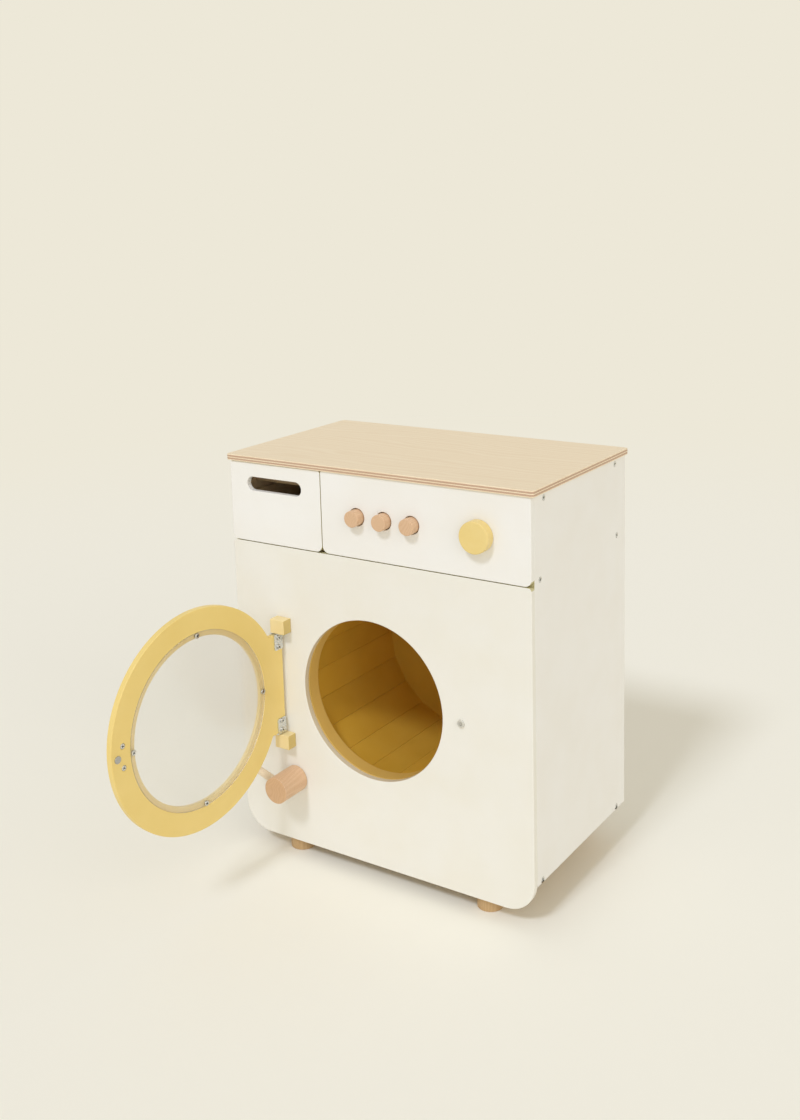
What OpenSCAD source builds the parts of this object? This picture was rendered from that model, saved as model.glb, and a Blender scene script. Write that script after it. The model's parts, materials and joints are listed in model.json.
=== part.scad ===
// Toy washing machine in painted plywood, standing on four round feet.
// Lengths are in millimetres and angles in degrees.
// X runs to the right, Y to the back and Z up. The front faces of the panels lie at y = 0
// before the whole object is moved to its origin, which is the middle of its base.

/* [Cabinet] */
// Width of the cabinet
cabinet_w = 430; // [415:1:460]
// Depth from the front faces to the rear face of the back panel
cabinet_d = 252; // [240:1:290]
// Height of the lower front panel
lower_front_h = 395; // [390:1:420]
// Height of the row that holds the drawer and the controls
row_h = 103; // [98:1:120]
// Gap between the lower front panel and that row
row_gap = 1; // [0.6:0.1:2]
// How far the front panel hangs below the bottom board
skirt_h = 33; // [28:0.5:34]
// Thickness of the front panels
front_t = 8; // [7:0.5:10]
// Thickness of the side panels
side_t = 8; // [7:0.5:12]
// Thickness of the inner boards
board_t = 8; // [7:0.5:9]
// Thickness of the back panel
back_t = 8; // [6:0.5:10]
// Radius of the front panel's bottom corners
skirt_r = 38; // [5:1:44]
// Radius of the top corners of the upper panels
panel_r = 3; // [1:0.5:10]
// Width of the two rails under the top
rail_w = 46; // [30:1:60]
// Thickness of the rails under the top
rail_t = 14; // [11:0.5:15]
// Side of the square battens behind the lower front panel
batten_w = 15; // [12:0.5:18]

/* [Top] */
// Thickness of the top panel
top_t = 8; // [7:0.5:16]
// Overhang of the top at each side
top_side = 4.5; // [1:0.5:8]
// Overhang of the top at the front
top_front = 2.3; // [1:0.1:6]
// Radius of the top's corners
top_r = 4; // [1:0.5:12]

/* [Feet] */
// Diameter of a foot
foot_d = 32; // [24:1:36]
// How far the feet stand below the front panel
foot_show = 20; // [6:0.5:25]
// Distance of a foot's axis from the side of the cabinet
foot_in_x = 73; // [40:1:76]
// Gap between a front foot and the front panel
foot_gap = 0.5; // [0.5:0.5:6]

/* [Drum] */
// Place of the drum's axis to the right of the cabinet's middle
drum_x = -7; // [-10:0.5:3]
// Diameter of the round mouth in the front panel
mouth_d = 204; // [180:1:210]
// Width of the drum's front ring
ring_w = 31; // [28:0.5:34]
// Thickness of the drum's front ring
ring_t = 20; // [12:0.5:24]
// Number of staves round the drum
stave_count = 20; // [14:1:28]
// Distance from the edge of the mouth to the inner corners between the staves
stave_step_in = 16; // [8:0.5:17]
// Thickness of a stave
stave_t = 6; // [4:0.5:7]
// Thickness of the drum's back disc
drum_back_t = 8; // [6:0.5:12]
// Diameter of the drum's axle
axle_d = 10; // [8:0.5:12]
// Thickness of the bearing block behind the drum
bearing_t = 12; // [11:0.5:20]
// Width and height of the bearing block
bearing_w = 90; // [60:1:120]

/* [Crank] */
// Place of the crank's axis to the left of the drum's axis
crank_side = 121.5; // [118:0.5:124]
// Diameter of the crank's hub
hub_d = 34; // [28:1:36]
// How far the hub stands out of the front panel
hub_out = 44; // [42:1:60]
// Diameter of the lever
lever_d = 10; // [8:0.5:12]
// Distance from the crank's axis to the tip of the lever
lever_reach = 58; // [40:1:60]
// Distance of the lever's middle from the front panel
lever_out = 28.5; // [26:0.5:31]
// Angle of the lever above the horizontal
lever_tilt = 18; // [0:1:30]
// Diameter of the steel shafts of the crank and the idler
shaft_d = 8; // [6:0.5:9]
// Diameter of the two friction wheels over their tyres
wheel_d = 87.8; // [80:0.2:92]
// Thickness of the two friction wheels
wheel_t = 14; // [10:0.5:18]
// Gap between the wheels and the bottom board
wheel_floor = 3.1; // [2:0.1:10]
// Diameter of the rubber cord that makes a tyre
tyre_d = 6; // [4:0.5:8]

/* [Door] */
// Width of the door ring
door_w = 35; // [33:0.5:35]
// Width of the rebate that the window sits in
rebate_w = 7; // [6.6:0.1:9]
// Depth of that rebate and thickness of the window
rebate_t = 3; // [2:0.5:4]
// Thickness of the door ring
door_t = 8; // [7:0.5:9]
// Height of the straight hinge side of the door
tab_h = 131; // [110:1:131]
// How far the hinge side reaches beyond the hinge pins
tab_back = 6; // [5:0.5:7]
// Gap between the hinge pins and the door ring's circle
hinge_lap = 1; // [1:0.5:5]
// Angle at which the door stands open
door_open = 94; // [60:1:120]
// Distance of the door magnet from the window opening
magnet_in = 26; // [23:0.5:28]
// Diameter of the door magnet
magnet_d = 9; // [6:0.5:10]
// Distance of the handle from the window opening
handle_in = 17.5; // [16.5:0.5:19]
// Distance between the two handle screws
handle_pitch = 26; // [16:1:28]
// Width of the handle's bar
handle_w = 12; // [8:0.5:16]
// Length of the handle's bar
handle_l = 42; // [38:1:60]
// How far the handle stands out of the door
handle_out = 12; // [11:0.5:30]

/* [Hinge] */
// Width of a hinge block
block_w = 22; // [18:0.5:22.5]
// How far a hinge block stands out of the panel
block_d = 15; // [14:0.5:19]
// Height of a hinge block
block_h = 18.5; // [16:0.5:28]
// Distance of the pin from the block's left face
block_pin = 4.5; // [4:0.5:8]
// Distance of the pins from the front panel
hinge_out = 9; // [8:0.5:10]
// Diameter of a hinge pin
pin_d = 4; // [3:0.5:5]
// Length of a pin inside its block
pin_l = 12; // [8:0.5:14]
// Width of a hinge leaf
leaf_w = 15; // [12:0.5:18]
// Height of a hinge leaf
leaf_h = 20; // [18:0.5:35]
// Thickness of the hinge steel
leaf_t = 1.2; // [0.8:0.1:1.5]

/* [Drawer] */
// Width of the drawer front
drawer_w = 141.5; // [125:0.5:150]
// Length of the finger slot
slot_l = 85.5; // [60:0.5:95]
// Height of the finger slot
slot_h = 18; // [14:0.5:22]
// Height of the slot's middle above the drawer front's bottom edge
slot_up = 75.3; // [74:0.1:80]
// Length of the drawer box behind the front
box_l = 170; // [140:1:220]
// Height of the drawer box sides
box_h = 50; // [30:1:52]
// Thickness of the drawer box boards
box_t = 6; // [4:0.5:7]
// Thickness of the drawer bottom
box_bottom_t = 4; // [3:0.5:6]

/* [Controls] */
// Distance between neighbouring buttons
button_pitch = 38.9; // [34:0.1:42]
// Distance of the left button from the control panel's left edge
button_in = 52.7; // [44:0.1:70]
// Diameter of a button
button_d = 20; // [14:0.5:21]
// How far a button stands out
button_out = 12; // [8:0.5:16]
// Gap round a button in its hole
button_gap = 1; // [0.5:0.1:1.5]
// Height of the line of controls above the row's bottom edge
control_up = 51.5; // [48:0.5:60]
// Distance of the dial from the right side of the cabinet
dial_in = 66; // [50:1:85]
// Diameter of the dial
dial_d = 38; // [30:1:50]
// How far the dial stands out
dial_out = 13; // [11:0.5:20]
// Diameter of the dial's axle
dial_axle_d = 10; // [8:0.5:14]
// Distance from the control panel's rear face to the rail behind the buttons
rail_back = 22; // [20:0.5:30]

/* [Screws] */
// Diameter of a screw's head
head_d = 6.5; // [5.5:0.1:7]
// Thickness of a screw's head
head_t = 1.6; // [1.2:0.1:2.2]
// Diameter of a screw's shank
shank_d = 3; // [2.5:0.1:3.5]
// Length of the cabinet screws
long_l = 25; // [20:1:35]
// Length of the screws inside the cabinet
middle_l = 18; // [16.5:0.5:18.5]

/* [Hidden] */
$fn = 64;

// Clearances: a running shaft, a glued or screwed joint, and faces that pass each other
run_gap = 0.05;
glue_gap = 0.03;
slide_gap = 0.3;
// Small overlap that lets one cut run clean through a face
eps = 1;

// Cross in a screw's head
cross_l = head_d * 0.6;
cross_w = head_d * 0.14;

// Levels above the floor
panel_z = foot_show;
floor_z = panel_z + skirt_h;
row_z = panel_z + lower_front_h + row_gap;
top_z = row_z + row_h;
shelf_top = row_z + board_t;
rail_z = top_z - rail_t;
control_z = row_z + control_up;

// Cabinet, from side to side and from front to back
half_w = cabinet_w / 2;
foot_in_y = front_t + foot_gap + foot_d / 2;
inner_x = half_w - side_t;
back_y = cabinet_d - back_t;
screw_front_y = front_t + 13;
screw_back_y = back_y - 17;
back_screw_x = cabinet_w * 0.3;

// Corner radii along the line where the upper panels meet the lower one
row_corner_r = 9;
lower_corner_r = 5;

// The split between the drawer and the control panel, with the partition behind it
col_gap = 1;
partition_lap = 2.5;
control_x = -half_w + drawer_w + col_gap;
partition_x = -half_w + drawer_w - partition_lap;
batten_screw_in = 60;

// The wheels stand on the bottom board, and the drum's ring rests on the wheels
wheel_r = wheel_d / 2;
ring_r = mouth_d / 2 + ring_w;
wheel_dist = ring_r + slide_gap + wheel_r;
crank_z = floor_z + board_t + wheel_floor + wheel_r;
drum_z = crank_z + sqrt(pow(wheel_dist, 2) - pow(crank_side, 2));

// Drum
drum_gap = 0.5;
axle_flange_d = 44;
axle_flange_t = 3;
axle_screw_r = 15;
bush_wall = 2;
bush_flange_t = 1.5;
bush_flange_w = 3;
ring_y = front_t + drum_gap;
stave_y = ring_y + ring_t;
bearing_y = back_y - bearing_t;
drum_rear_y = bearing_y - bush_flange_t - drum_gap - axle_flange_t;
drum_back_y = drum_rear_y - drum_back_t;
stave_l = drum_back_y - stave_y;
stave_step = 360 / stave_count;
stave_in_r = (mouth_d / 2 + stave_step_in) * cos(stave_step / 2);
stave_out_r = stave_in_r + stave_t;
drum_back_r = stave_out_r / cos(stave_step / 2);
stave_seam = 0.05;
bearing_screw_in = 12;

// Crank, friction wheels and their brackets
crank_x = drum_x - crank_side;
idler_x = drum_x + crank_side;
wheel_y = front_t + 1;
hub_gap = 0.5;
hub_bore_end = 6;
bracket_gap = 6;
bracket_y = stave_y + bracket_gap;
bracket_t = 12;
bracket_w = 30;
bracket_up = 15;
bracket_screws = [3, 11];
boss_d = shaft_d + 8;
idler_seat = 4;

// Door
window_d = mouth_d;
door_d = window_d + 2 * door_w;
door_reach = door_d / 2 + hinge_lap;
magnet_reach = window_d / 2 + magnet_in;
handle_reach = window_d / 2 + handle_in;
hinge_x = drum_x - door_reach;
hinge_y = -hinge_out;
magnet_t = 3;
magnet_out = 1;
tab_gap = 2;
rebate_r = window_d / 2 + rebate_w;
window_play = 0.3;
window_screw_r = window_d / 2 + 3.5;
latch_t = 2.5;
latch_x = drum_x + magnet_reach;
block_x = hinge_x - block_pin;
block_z = tab_h / 2 + tab_gap;
block_screw_x = block_x + block_w - 6;

// Drawer
drawer_top_gap = 0.8;
drawer_side_gap = 0.8;
box_x = -inner_x + drawer_side_gap;
box_w = partition_x - drawer_side_gap - box_x;
box_z = shelf_top + slide_gap;
slot_x = -half_w + drawer_w / 2 - 1.3;
stop_in = 32;
stop_y = front_t + stop_in;
stop_t = 12;
stop_h = 20;
stop_catch = 5;

// Buttons and dial
button_x = control_x + button_in;
dial_x = half_w - dial_in;
flange_wall = 5;
flange_t = 3;
spigot_d = 5;
spigot_l = 5;
spring_wall = 0.9;
spring_in_d = spigot_d + 1;
button_rail_y = front_t + rail_back;
button_rail_t = 12;
button_rail_h = 20;
control_batten_w = 15;
dial_gap = 0.5;
dial_seat = 3;
washer_d = dial_axle_d + 14;
washer_t = 3;
washer_y = front_t + 0.8;
short_l = 12;
tiny_l = 6.5;

// The open door reaches furthest forward, so the middle of the base lies forward of the cabinet
front_reach = hinge_y - (door_reach + door_d / 2) * sin(door_open) + door_t / 2 * cos(door_open);
middle_y = (front_reach + cabinet_d) / 2;

// Colours
white = [0.94, 0.93, 0.88];
yellow = [0.91, 0.80, 0.44];
birch = [0.89, 0.79, 0.64];
beech = [0.82, 0.66, 0.50];
steel = [0.75, 0.76, 0.77];
brass = [0.80, 0.65, 0.30];
clear = [0.85, 0.90, 0.92, 0.4];
rubber = [0.18, 0.18, 0.18];

// Moves a piece from the cabinet's own frame to the middle of the base
module placed() {
    translate([0, -middle_y, 0]) children();
}

// Turns a piece drawn along +Z so that it points to the back
module point_back() {
    rotate([-90, 0, 0]) children();
}

// Turns a piece drawn along +Z so that it points to the front
module point_front() {
    rotate([90, 0, 0]) children();
}

// Puts an outline drawn in X and Z up as a board from y = from_y, thick along Y
module upright(from_y, t) {
    translate([0, from_y + t, 0]) rotate([90, 0, 0]) linear_extrude(t) children();
}

// Rectangle with its own radius at each corner: bottom left, bottom right, top right, top left
module rounded(w, h, radii) {
    r0 = radii[0];
    r1 = radii[1];
    r2 = radii[2];
    r3 = radii[3];
    polygon([[r0, 0], [w - r1, 0], [w, r1], [w, h - r2], [w - r2, h], [r3, h], [0, h - r3], [0, r0]]);
    translate([r0, r0]) circle(r = r0);
    translate([w - r1, r1]) circle(r = r1);
    translate([w - r2, h - r2]) circle(r = r2);
    translate([r3, h - r3]) circle(r = r3);
}

// Screw with its head's top at the origin, pointing down, with a cross in the head
module screw(l) {
    difference() {
        union() {
            translate([0, 0, -head_t]) cylinder(d = head_d, h = head_t);
            translate([0, 0, -l]) cylinder(d = shank_d, h = l - head_t / 2);
        }
        cube([cross_l, cross_w, head_t], center = true);
        cube([cross_w, cross_l, head_t], center = true);
    }
}

// Hole for that screw, with its head flush
module screw_hole(l) {
    translate([0, 0, -head_t - glue_gap])
        cylinder(d = head_d + 2 * glue_gap, h = head_t + glue_gap + eps);
    translate([0, 0, -l - glue_gap]) cylinder(d = shank_d + 2 * glue_gap, h = l);
}

// Places of the long screws: through the sides into the boards, and through the back
module side_screw_places() {
    for (side = [-1, 1]) {
        for (z = [floor_z + board_t / 2, row_z + board_t / 2], y = [screw_front_y, screw_back_y])
            translate([side * half_w, y, z]) rotate([0, side * 90, 0]) children();
        for (y = [front_t + rail_w / 2, back_y - rail_w / 2])
            translate([side * half_w, y, rail_z + rail_t / 2]) rotate([0, side * 90, 0]) children();
    }
}

module back_screw_places() {
    for (x = [-1, 1], z = [floor_z + board_t / 2, row_z + board_t / 2, rail_z + rail_t / 2])
        translate([x * back_screw_x, cabinet_d, z]) point_back() children();
}

// Places of the middle screws inside the cabinet
module bearing_screw_places() {
    reach = bearing_w / 2 - bearing_screw_in;
    for (x = [-reach, reach], z = [-reach, reach])
        translate([drum_x + x, cabinet_d, drum_z + z]) point_back() children();
}

module foot_places() {
    for (x = [-1, 1], y = [foot_in_y, cabinet_d - foot_in_y])
        translate([x * (half_w - foot_in_x), y, 0]) children();
}

module foot_screw_places() {
    foot_places() translate([0, 0, floor_z + board_t]) children();
}

module bracket_screw_places() {
    for (side = [-1, 1], dx = bracket_screws)
        translate([drum_x + side * (crank_side - dx), bracket_y + bracket_t / 2, floor_z])
            rotate([180, 0, 0]) children();
}

module block_screw_places() {
    for (side = [-1, 1])
        translate([block_screw_x, front_t, drum_z + side * (block_z + block_h / 2)])
            point_back() children();
}

module batten_screw_places() {
    for (side = [-1, 1], z = [floor_z + batten_screw_in, row_z - batten_screw_in])
        translate([side * (inner_x - batten_w / 2), front_t + batten_w, z]) point_back() children();
}

module button_rail_screw_places() {
    for (x = [partition_x + board_t + control_batten_w / 2, inner_x - control_batten_w / 2])
        translate([x, button_rail_y + button_rail_t, control_z]) point_back() children();
}

// Places of the middle screws that hold the top from below
module rail_screw_places() {
    for (x = [-1, 1], y = [front_t + rail_w / 2, back_y - rail_w / 2])
        translate([x * back_screw_x, y, rail_z]) rotate([180, 0, 0]) children();
}

// Cabinet
module top_panel() {
    color(birch) placed() difference() {
        translate([-half_w - top_side, -top_front, top_z]) linear_extrude(top_t)
            rounded(cabinet_w + 2 * top_side, cabinet_d + top_front, [top_r, top_r, top_r, top_r]);
        rail_screw_places() screw_hole(middle_l);
    }
}

module side_panel(side) {
    color(white) placed() difference() {
        translate([side > 0 ? inner_x : -half_w, front_t, floor_z])
            cube([side_t, cabinet_d - front_t, top_z - floor_z]);
        side_screw_places() screw_hole(long_l);
    }
}

module left_side_panel() {
    side_panel(-1);
}

module right_side_panel() {
    side_panel(1);
}

module back_panel() {
    color(white) placed() difference() {
        translate([-inner_x, back_y, floor_z]) cube([2 * inner_x, back_t, top_z - floor_z]);
        back_screw_places() screw_hole(long_l);
        bearing_screw_places() screw_hole(middle_l);
    }
}

module bottom_board() {
    color(birch) placed() difference() {
        translate([-inner_x, front_t, floor_z]) cube([2 * inner_x, back_y - front_t, board_t]);
        side_screw_places() screw_hole(long_l);
        back_screw_places() screw_hole(long_l);
        foot_screw_places() screw_hole(middle_l);
        bracket_screw_places() screw_hole(middle_l);
    }
}

module shelf_board() {
    color(birch) placed() difference() {
        translate([-inner_x, front_t, row_z]) cube([2 * inner_x, back_y - front_t, board_t]);
        side_screw_places() screw_hole(long_l);
        back_screw_places() screw_hole(long_l);
    }
}

module top_rails() {
    color(birch) placed() difference() {
        for (y = [front_t, back_y - rail_w])
            translate([-inner_x, y, rail_z]) cube([2 * inner_x, rail_w, rail_t]);
        side_screw_places() screw_hole(long_l);
        back_screw_places() screw_hole(long_l);
        rail_screw_places() screw_hole(middle_l);
    }
}

module drawer_partition() {
    color(birch) placed()
        translate([partition_x, front_t, shelf_top]) cube([board_t, back_y - front_t, rail_z - shelf_top]);
}

module drawer_stop() {
    color(birch) placed()
        translate([-inner_x, stop_y, rail_z - stop_h]) cube([partition_x + inner_x, stop_t, stop_h]);
}

module lower_front_panel() {
    color(white) placed() difference() {
        upright(0, front_t) translate([-half_w, panel_z])
            rounded(cabinet_w, lower_front_h, [skirt_r, skirt_r, lower_corner_r, lower_corner_r]);
        translate([drum_x, -eps, drum_z]) point_back()
            cylinder(d = mouth_d, h = front_t + 2 * eps, $fn = 128);
        translate([crank_x, -eps, crank_z]) point_back()
            cylinder(d = shaft_d + 2 * run_gap, h = front_t + 2 * eps);
        translate([idler_x, idler_seat, crank_z]) point_back()
            cylinder(d = shaft_d + 2 * glue_gap, h = front_t);
        block_screw_places() screw_hole(middle_l);
        batten_screw_places() screw_hole(middle_l);
        translate([latch_x, -latch_t, drum_z]) point_front() screw_hole(tiny_l);
    }
}

module control_panel() {
    color(white) placed() difference() {
        upright(0, front_t) translate([control_x, row_z])
            rounded(half_w - control_x, row_h, [row_corner_r, row_corner_r, panel_r, panel_r]);
        for (i = [0 : 2])
            translate([button_x + i * button_pitch, -eps, control_z]) point_back()
                cylinder(d = button_d + 2 * button_gap, h = front_t + 2 * eps);
        translate([dial_x, -eps, control_z]) point_back()
            cylinder(d = dial_axle_d + 2 * run_gap, h = front_t + 2 * eps);
    }
}

module battens() {
    color(birch) placed() difference() {
        union() {
            for (side = [-1, 1])
                translate([side > 0 ? inner_x - batten_w : -inner_x, front_t, floor_z + board_t])
                    cube([batten_w, batten_w, row_z - floor_z - board_t]);
            for (x = [partition_x + board_t, inner_x - control_batten_w])
                translate([x, front_t, shelf_top]) cube([control_batten_w, rail_back, rail_z - shelf_top]);
        }
        batten_screw_places() screw_hole(middle_l);
        button_rail_screw_places() screw_hole(middle_l);
    }
}

module button_rail() {
    color(birch) placed() difference() {
        translate([partition_x + board_t, button_rail_y, control_z - button_rail_h / 2])
            cube([inner_x - partition_x - board_t, button_rail_t, button_rail_h]);
        button_rail_screw_places() screw_hole(middle_l);
    }
}

module feet() {
    color(beech) placed() difference() {
        foot_places() cylinder(d = foot_d, h = floor_z);
        foot_screw_places() screw_hole(middle_l);
    }
}

module cabinet_screws() {
    color(steel) placed() {
        side_screw_places() screw(long_l);
        back_screw_places() screw(long_l);
    }
}

module inner_screws() {
    color(steel) placed() {
        foot_screw_places() screw(middle_l);
        bracket_screw_places() screw(middle_l);
        block_screw_places() screw(middle_l);
        batten_screw_places() screw(middle_l);
        button_rail_screw_places() screw(middle_l);
        bearing_screw_places() screw(middle_l);
    }
}

module rail_screws() {
    color(steel) placed() rail_screw_places() screw(middle_l);
}

// Hinge blocks and latch on the front panel
module hinge_blocks() {
    color(yellow) placed() difference() {
        for (side = [-1, 1])
            translate([block_x, -block_d, drum_z + side * (block_z + block_h / 2) - block_h / 2])
                cube([block_w, block_d, block_h]);
        translate([hinge_x, hinge_y, drum_z - block_z - pin_l - slide_gap])
            cylinder(d = pin_d + 2 * run_gap, h = 2 * (block_z + pin_l + slide_gap));
        block_screw_places() screw_hole(middle_l);
    }
}

module latch_plate() {
    color(steel) placed() difference() {
        translate([latch_x, -latch_t, drum_z]) point_back() cylinder(d = magnet_d, h = latch_t);
        translate([latch_x, -latch_t, drum_z]) point_front() screw_hole(tiny_l);
    }
}

module latch_screw() {
    color(steel) placed() translate([latch_x, -latch_t, drum_z]) point_front() screw(tiny_l);
}

// Drum
module drum_front_ring() {
    color(yellow) placed() translate([drum_x, ring_y, drum_z]) point_back() difference() {
        cylinder(r = ring_r, h = ring_t, $fn = 128);
        translate([0, 0, -eps]) cylinder(d = mouth_d, h = ring_t + 2 * eps, $fn = 128);
    }
}

module stave() {
    r0 = stave_in_r;
    r1 = stave_out_r;
    w0 = r0 * tan(stave_step / 2) - stave_seam;
    w1 = r1 * tan(stave_step / 2) - stave_seam;
    linear_extrude(stave_l) polygon([[r0, -w0], [r1, -w1], [r1, w1], [r0, w0]]);
}

module drum_staves() {
    color(yellow) placed() translate([drum_x, stave_y, drum_z]) point_back()
        for (i = [0 : stave_count - 1]) rotate(stave_step * (i + 0.5)) stave();
}

module axle_screw_places() {
    for (i = [0 : 2])
        translate([0, 0, drum_back_t + axle_flange_t]) rotate(i * 120)
            translate([axle_screw_r, 0, 0]) children();
}

module in_drum_back() {
    placed() translate([drum_x, drum_back_y, drum_z]) point_back() children();
}

module drum_back() {
    color(yellow) in_drum_back() difference() {
        cylinder(r = drum_back_r, h = drum_back_t, $fn = 128);
        axle_screw_places() screw_hole(tiny_l);
    }
}

module drum_axle() {
    color(steel) in_drum_back() difference() {
        translate([0, 0, drum_back_t]) union() {
            cylinder(d = axle_flange_d, h = axle_flange_t);
            cylinder(d = axle_d, h = axle_flange_t + drum_gap + bush_flange_t + bearing_t - eps);
        }
        axle_screw_places() screw_hole(tiny_l);
    }
}

module axle_screws() {
    color(steel) in_drum_back() axle_screw_places() screw(tiny_l);
}

module bearing_block() {
    bore_d = axle_d + 2 * (run_gap + bush_wall + glue_gap);
    color(birch) placed() difference() {
        translate([drum_x - bearing_w / 2, bearing_y, drum_z - bearing_w / 2])
            cube([bearing_w, bearing_t, bearing_w]);
        translate([drum_x, bearing_y - eps, drum_z]) point_back()
            cylinder(d = bore_d, h = bearing_t + 2 * eps);
        bearing_screw_places() screw_hole(middle_l);
    }
}

module drum_bush() {
    out_d = axle_d + 2 * (run_gap + bush_wall);
    bush_l = bush_flange_t + bearing_t;
    color(brass) placed() translate([drum_x, bearing_y - bush_flange_t, drum_z]) point_back() difference() {
        union() {
            cylinder(d = out_d, h = bush_l);
            cylinder(d = out_d + 2 * bush_flange_w, h = bush_flange_t);
        }
        translate([0, 0, -eps]) cylinder(d = axle_d + 2 * run_gap, h = bush_l + 2 * eps);
    }
}

// Crank, friction wheels and their brackets
module wheel_brackets() {
    color(birch) placed() difference() {
        for (x = [crank_x, idler_x])
            translate([x - bracket_w / 2, bracket_y, floor_z + board_t])
                cube([bracket_w, bracket_t, crank_z + bracket_up - floor_z - board_t]);
        translate([crank_x, bracket_y - eps, crank_z]) point_back()
            cylinder(d = shaft_d + 2 * run_gap, h = bracket_t + 2 * eps);
        translate([idler_x, bracket_y - eps, crank_z]) point_back()
            cylinder(d = shaft_d + 2 * glue_gap, h = bracket_t + 2 * eps);
        bracket_screw_places() screw_hole(middle_l);
    }
}

module friction_wheel(x, bore_gap) {
    rim_r = wheel_r - tyre_d / 2;
    boss_l = bracket_y - slide_gap - wheel_y;
    color(birch) placed() translate([x, wheel_y, crank_z]) point_back() difference() {
        union() {
            cylinder(r = rim_r, h = wheel_t);
            cylinder(d = boss_d, h = boss_l);
        }
        translate([0, 0, -eps]) cylinder(d = shaft_d + 2 * bore_gap, h = boss_l + 2 * eps);
        translate([0, 0, wheel_t / 2]) rotate_extrude()
            translate([rim_r, 0]) circle(d = tyre_d + 2 * glue_gap);
    }
}

module tyre(x) {
    color(rubber) placed() translate([x, wheel_y + wheel_t / 2, crank_z]) point_back()
        rotate_extrude() translate([wheel_r - tyre_d / 2, 0]) circle(d = tyre_d);
}

module drive_wheel() {
    friction_wheel(crank_x, glue_gap);
}

module drive_tyre() {
    tyre(crank_x);
}

module idler_wheel() {
    friction_wheel(idler_x, run_gap);
}

module idler_tyre() {
    tyre(idler_x);
}

module idler_axle() {
    color(steel) placed() translate([idler_x, idler_seat + slide_gap, crank_z]) point_back()
        cylinder(d = shaft_d, h = bracket_y + bracket_t - idler_seat - slide_gap);
}

module crank_shaft() {
    from_y = -hub_out + hub_bore_end + slide_gap;
    color(steel) placed() translate([crank_x, from_y, crank_z]) point_back()
        cylinder(d = shaft_d, h = bracket_y + bracket_t - from_y);
}

module lever_place() {
    translate([crank_x, -lever_out, crank_z]) rotate([0, lever_tilt - 90, 0]) children();
}

module crank_hub() {
    color(beech) placed() difference() {
        translate([crank_x, -hub_out, crank_z]) point_back() cylinder(d = hub_d, h = hub_out - hub_gap);
        translate([crank_x, -hub_out + hub_bore_end, crank_z]) point_back()
            cylinder(d = shaft_d + 2 * glue_gap, h = hub_out);
        lever_place() cylinder(d = lever_d + 2 * glue_gap, h = hub_d);
    }
}

module crank_lever() {
    tip_r = lever_d / 2;
    color(birch) placed() lever_place() {
        translate([0, 0, shaft_d / 2 + slide_gap])
            cylinder(d = lever_d, h = lever_reach - tip_r - shaft_d / 2 - slide_gap);
        translate([0, 0, lever_reach - tip_r]) sphere(r = tip_r);
    }
}

// Door, drawn closed with the hinge pins on the Z axis and its inner face towards +Y
module in_door() {
    placed() translate([hinge_x, hinge_y, drum_z]) rotate([0, 0, -door_open]) children();
}

module door_disc(r, from_y, t) {
    translate([door_reach, from_y, 0]) point_back() cylinder(r = r, h = t, $fn = 128);
}

module window_screw_places() {
    for (a = [0 : 90 : 270])
        translate([door_reach, door_t / 2 + head_t, 0]) rotate([0, a, 0])
            translate([window_screw_r, 0, 0]) point_back() children();
}

module handle_screw_places() {
    for (side = [-1, 1])
        translate([door_reach + handle_reach, door_t / 2, side * handle_pitch / 2]) point_back() children();
}

module hinge_screw_places() {
    for (side = [-1, 1], part = [0.2, 0.8])
        translate([leaf_w / 2 - tab_back, door_t / 2 + leaf_t + head_t, side * (tab_h / 2 - leaf_h * part)])
            point_back() children();
}

// Hole for the shank of a screw whose head stands on the surface
module shank_hole(l) {
    translate([0, 0, -l - glue_gap]) cylinder(d = shank_d + 2 * glue_gap, h = l + eps);
}

module door_ring() {
    color(yellow) in_door() difference() {
        union() {
            door_disc(door_d / 2, -door_t / 2, door_t);
            translate([-tab_back, -door_t / 2, -tab_h / 2]) cube([door_reach + tab_back, door_t, tab_h]);
        }
        door_disc(window_d / 2, -door_t / 2 - eps, door_t + 2 * eps);
        door_disc(rebate_r, door_t / 2 - rebate_t, rebate_t + eps);
        window_screw_places() shank_hole(tiny_l);
        handle_screw_places() screw_hole(middle_l);
        hinge_screw_places() shank_hole(tiny_l);
        translate([door_reach + magnet_reach, door_t / 2 + magnet_out - magnet_t - glue_gap, 0])
            point_back() cylinder(d = magnet_d + 2 * glue_gap, h = magnet_t);
    }
}

module door_window() {
    color(clear) in_door() difference() {
        door_disc(rebate_r - window_play, door_t / 2 - rebate_t, rebate_t);
        window_screw_places() shank_hole(tiny_l);
    }
}

module window_screws() {
    color(steel) in_door() window_screw_places() screw(tiny_l);
}

module door_handle() {
    end_r = handle_w / 2;
    color(beech) in_door() difference() {
        upright(-door_t / 2 - handle_out, handle_out)
            translate([door_reach + handle_reach - handle_w / 2, -handle_l / 2])
                rounded(handle_w, handle_l, [end_r, end_r, end_r, end_r]);
        handle_screw_places() screw_hole(middle_l);
    }
}

module handle_screws() {
    color(steel) in_door() handle_screw_places() screw(middle_l);
}

module door_magnet() {
    color(steel) in_door()
        translate([door_reach + magnet_reach, door_t / 2 + magnet_out - magnet_t, 0]) point_back()
            cylinder(d = magnet_d, h = magnet_t);
}

module hinge_bracket() {
    leaf_r = 3;
    flange_d = door_t + leaf_t;
    difference() {
        translate([-tab_back, 0, tab_h / 2 - leaf_h])
            upright(door_t / 2, leaf_t)
                rounded(leaf_w, leaf_h + leaf_t, [leaf_t, leaf_r, leaf_t, leaf_t]);
        hinge_screw_places() shank_hole(tiny_l);
    }
    translate([-tab_back, -door_t / 2, tab_h / 2]) cube([leaf_w, flange_d, leaf_t]);
    translate([0, 0, tab_h / 2]) cylinder(d = pin_d, h = tab_gap + pin_l);
}

module hinge_brackets() {
    color(steel) in_door() {
        hinge_bracket();
        mirror([0, 0, 1]) hinge_bracket();
    }
}

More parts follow.
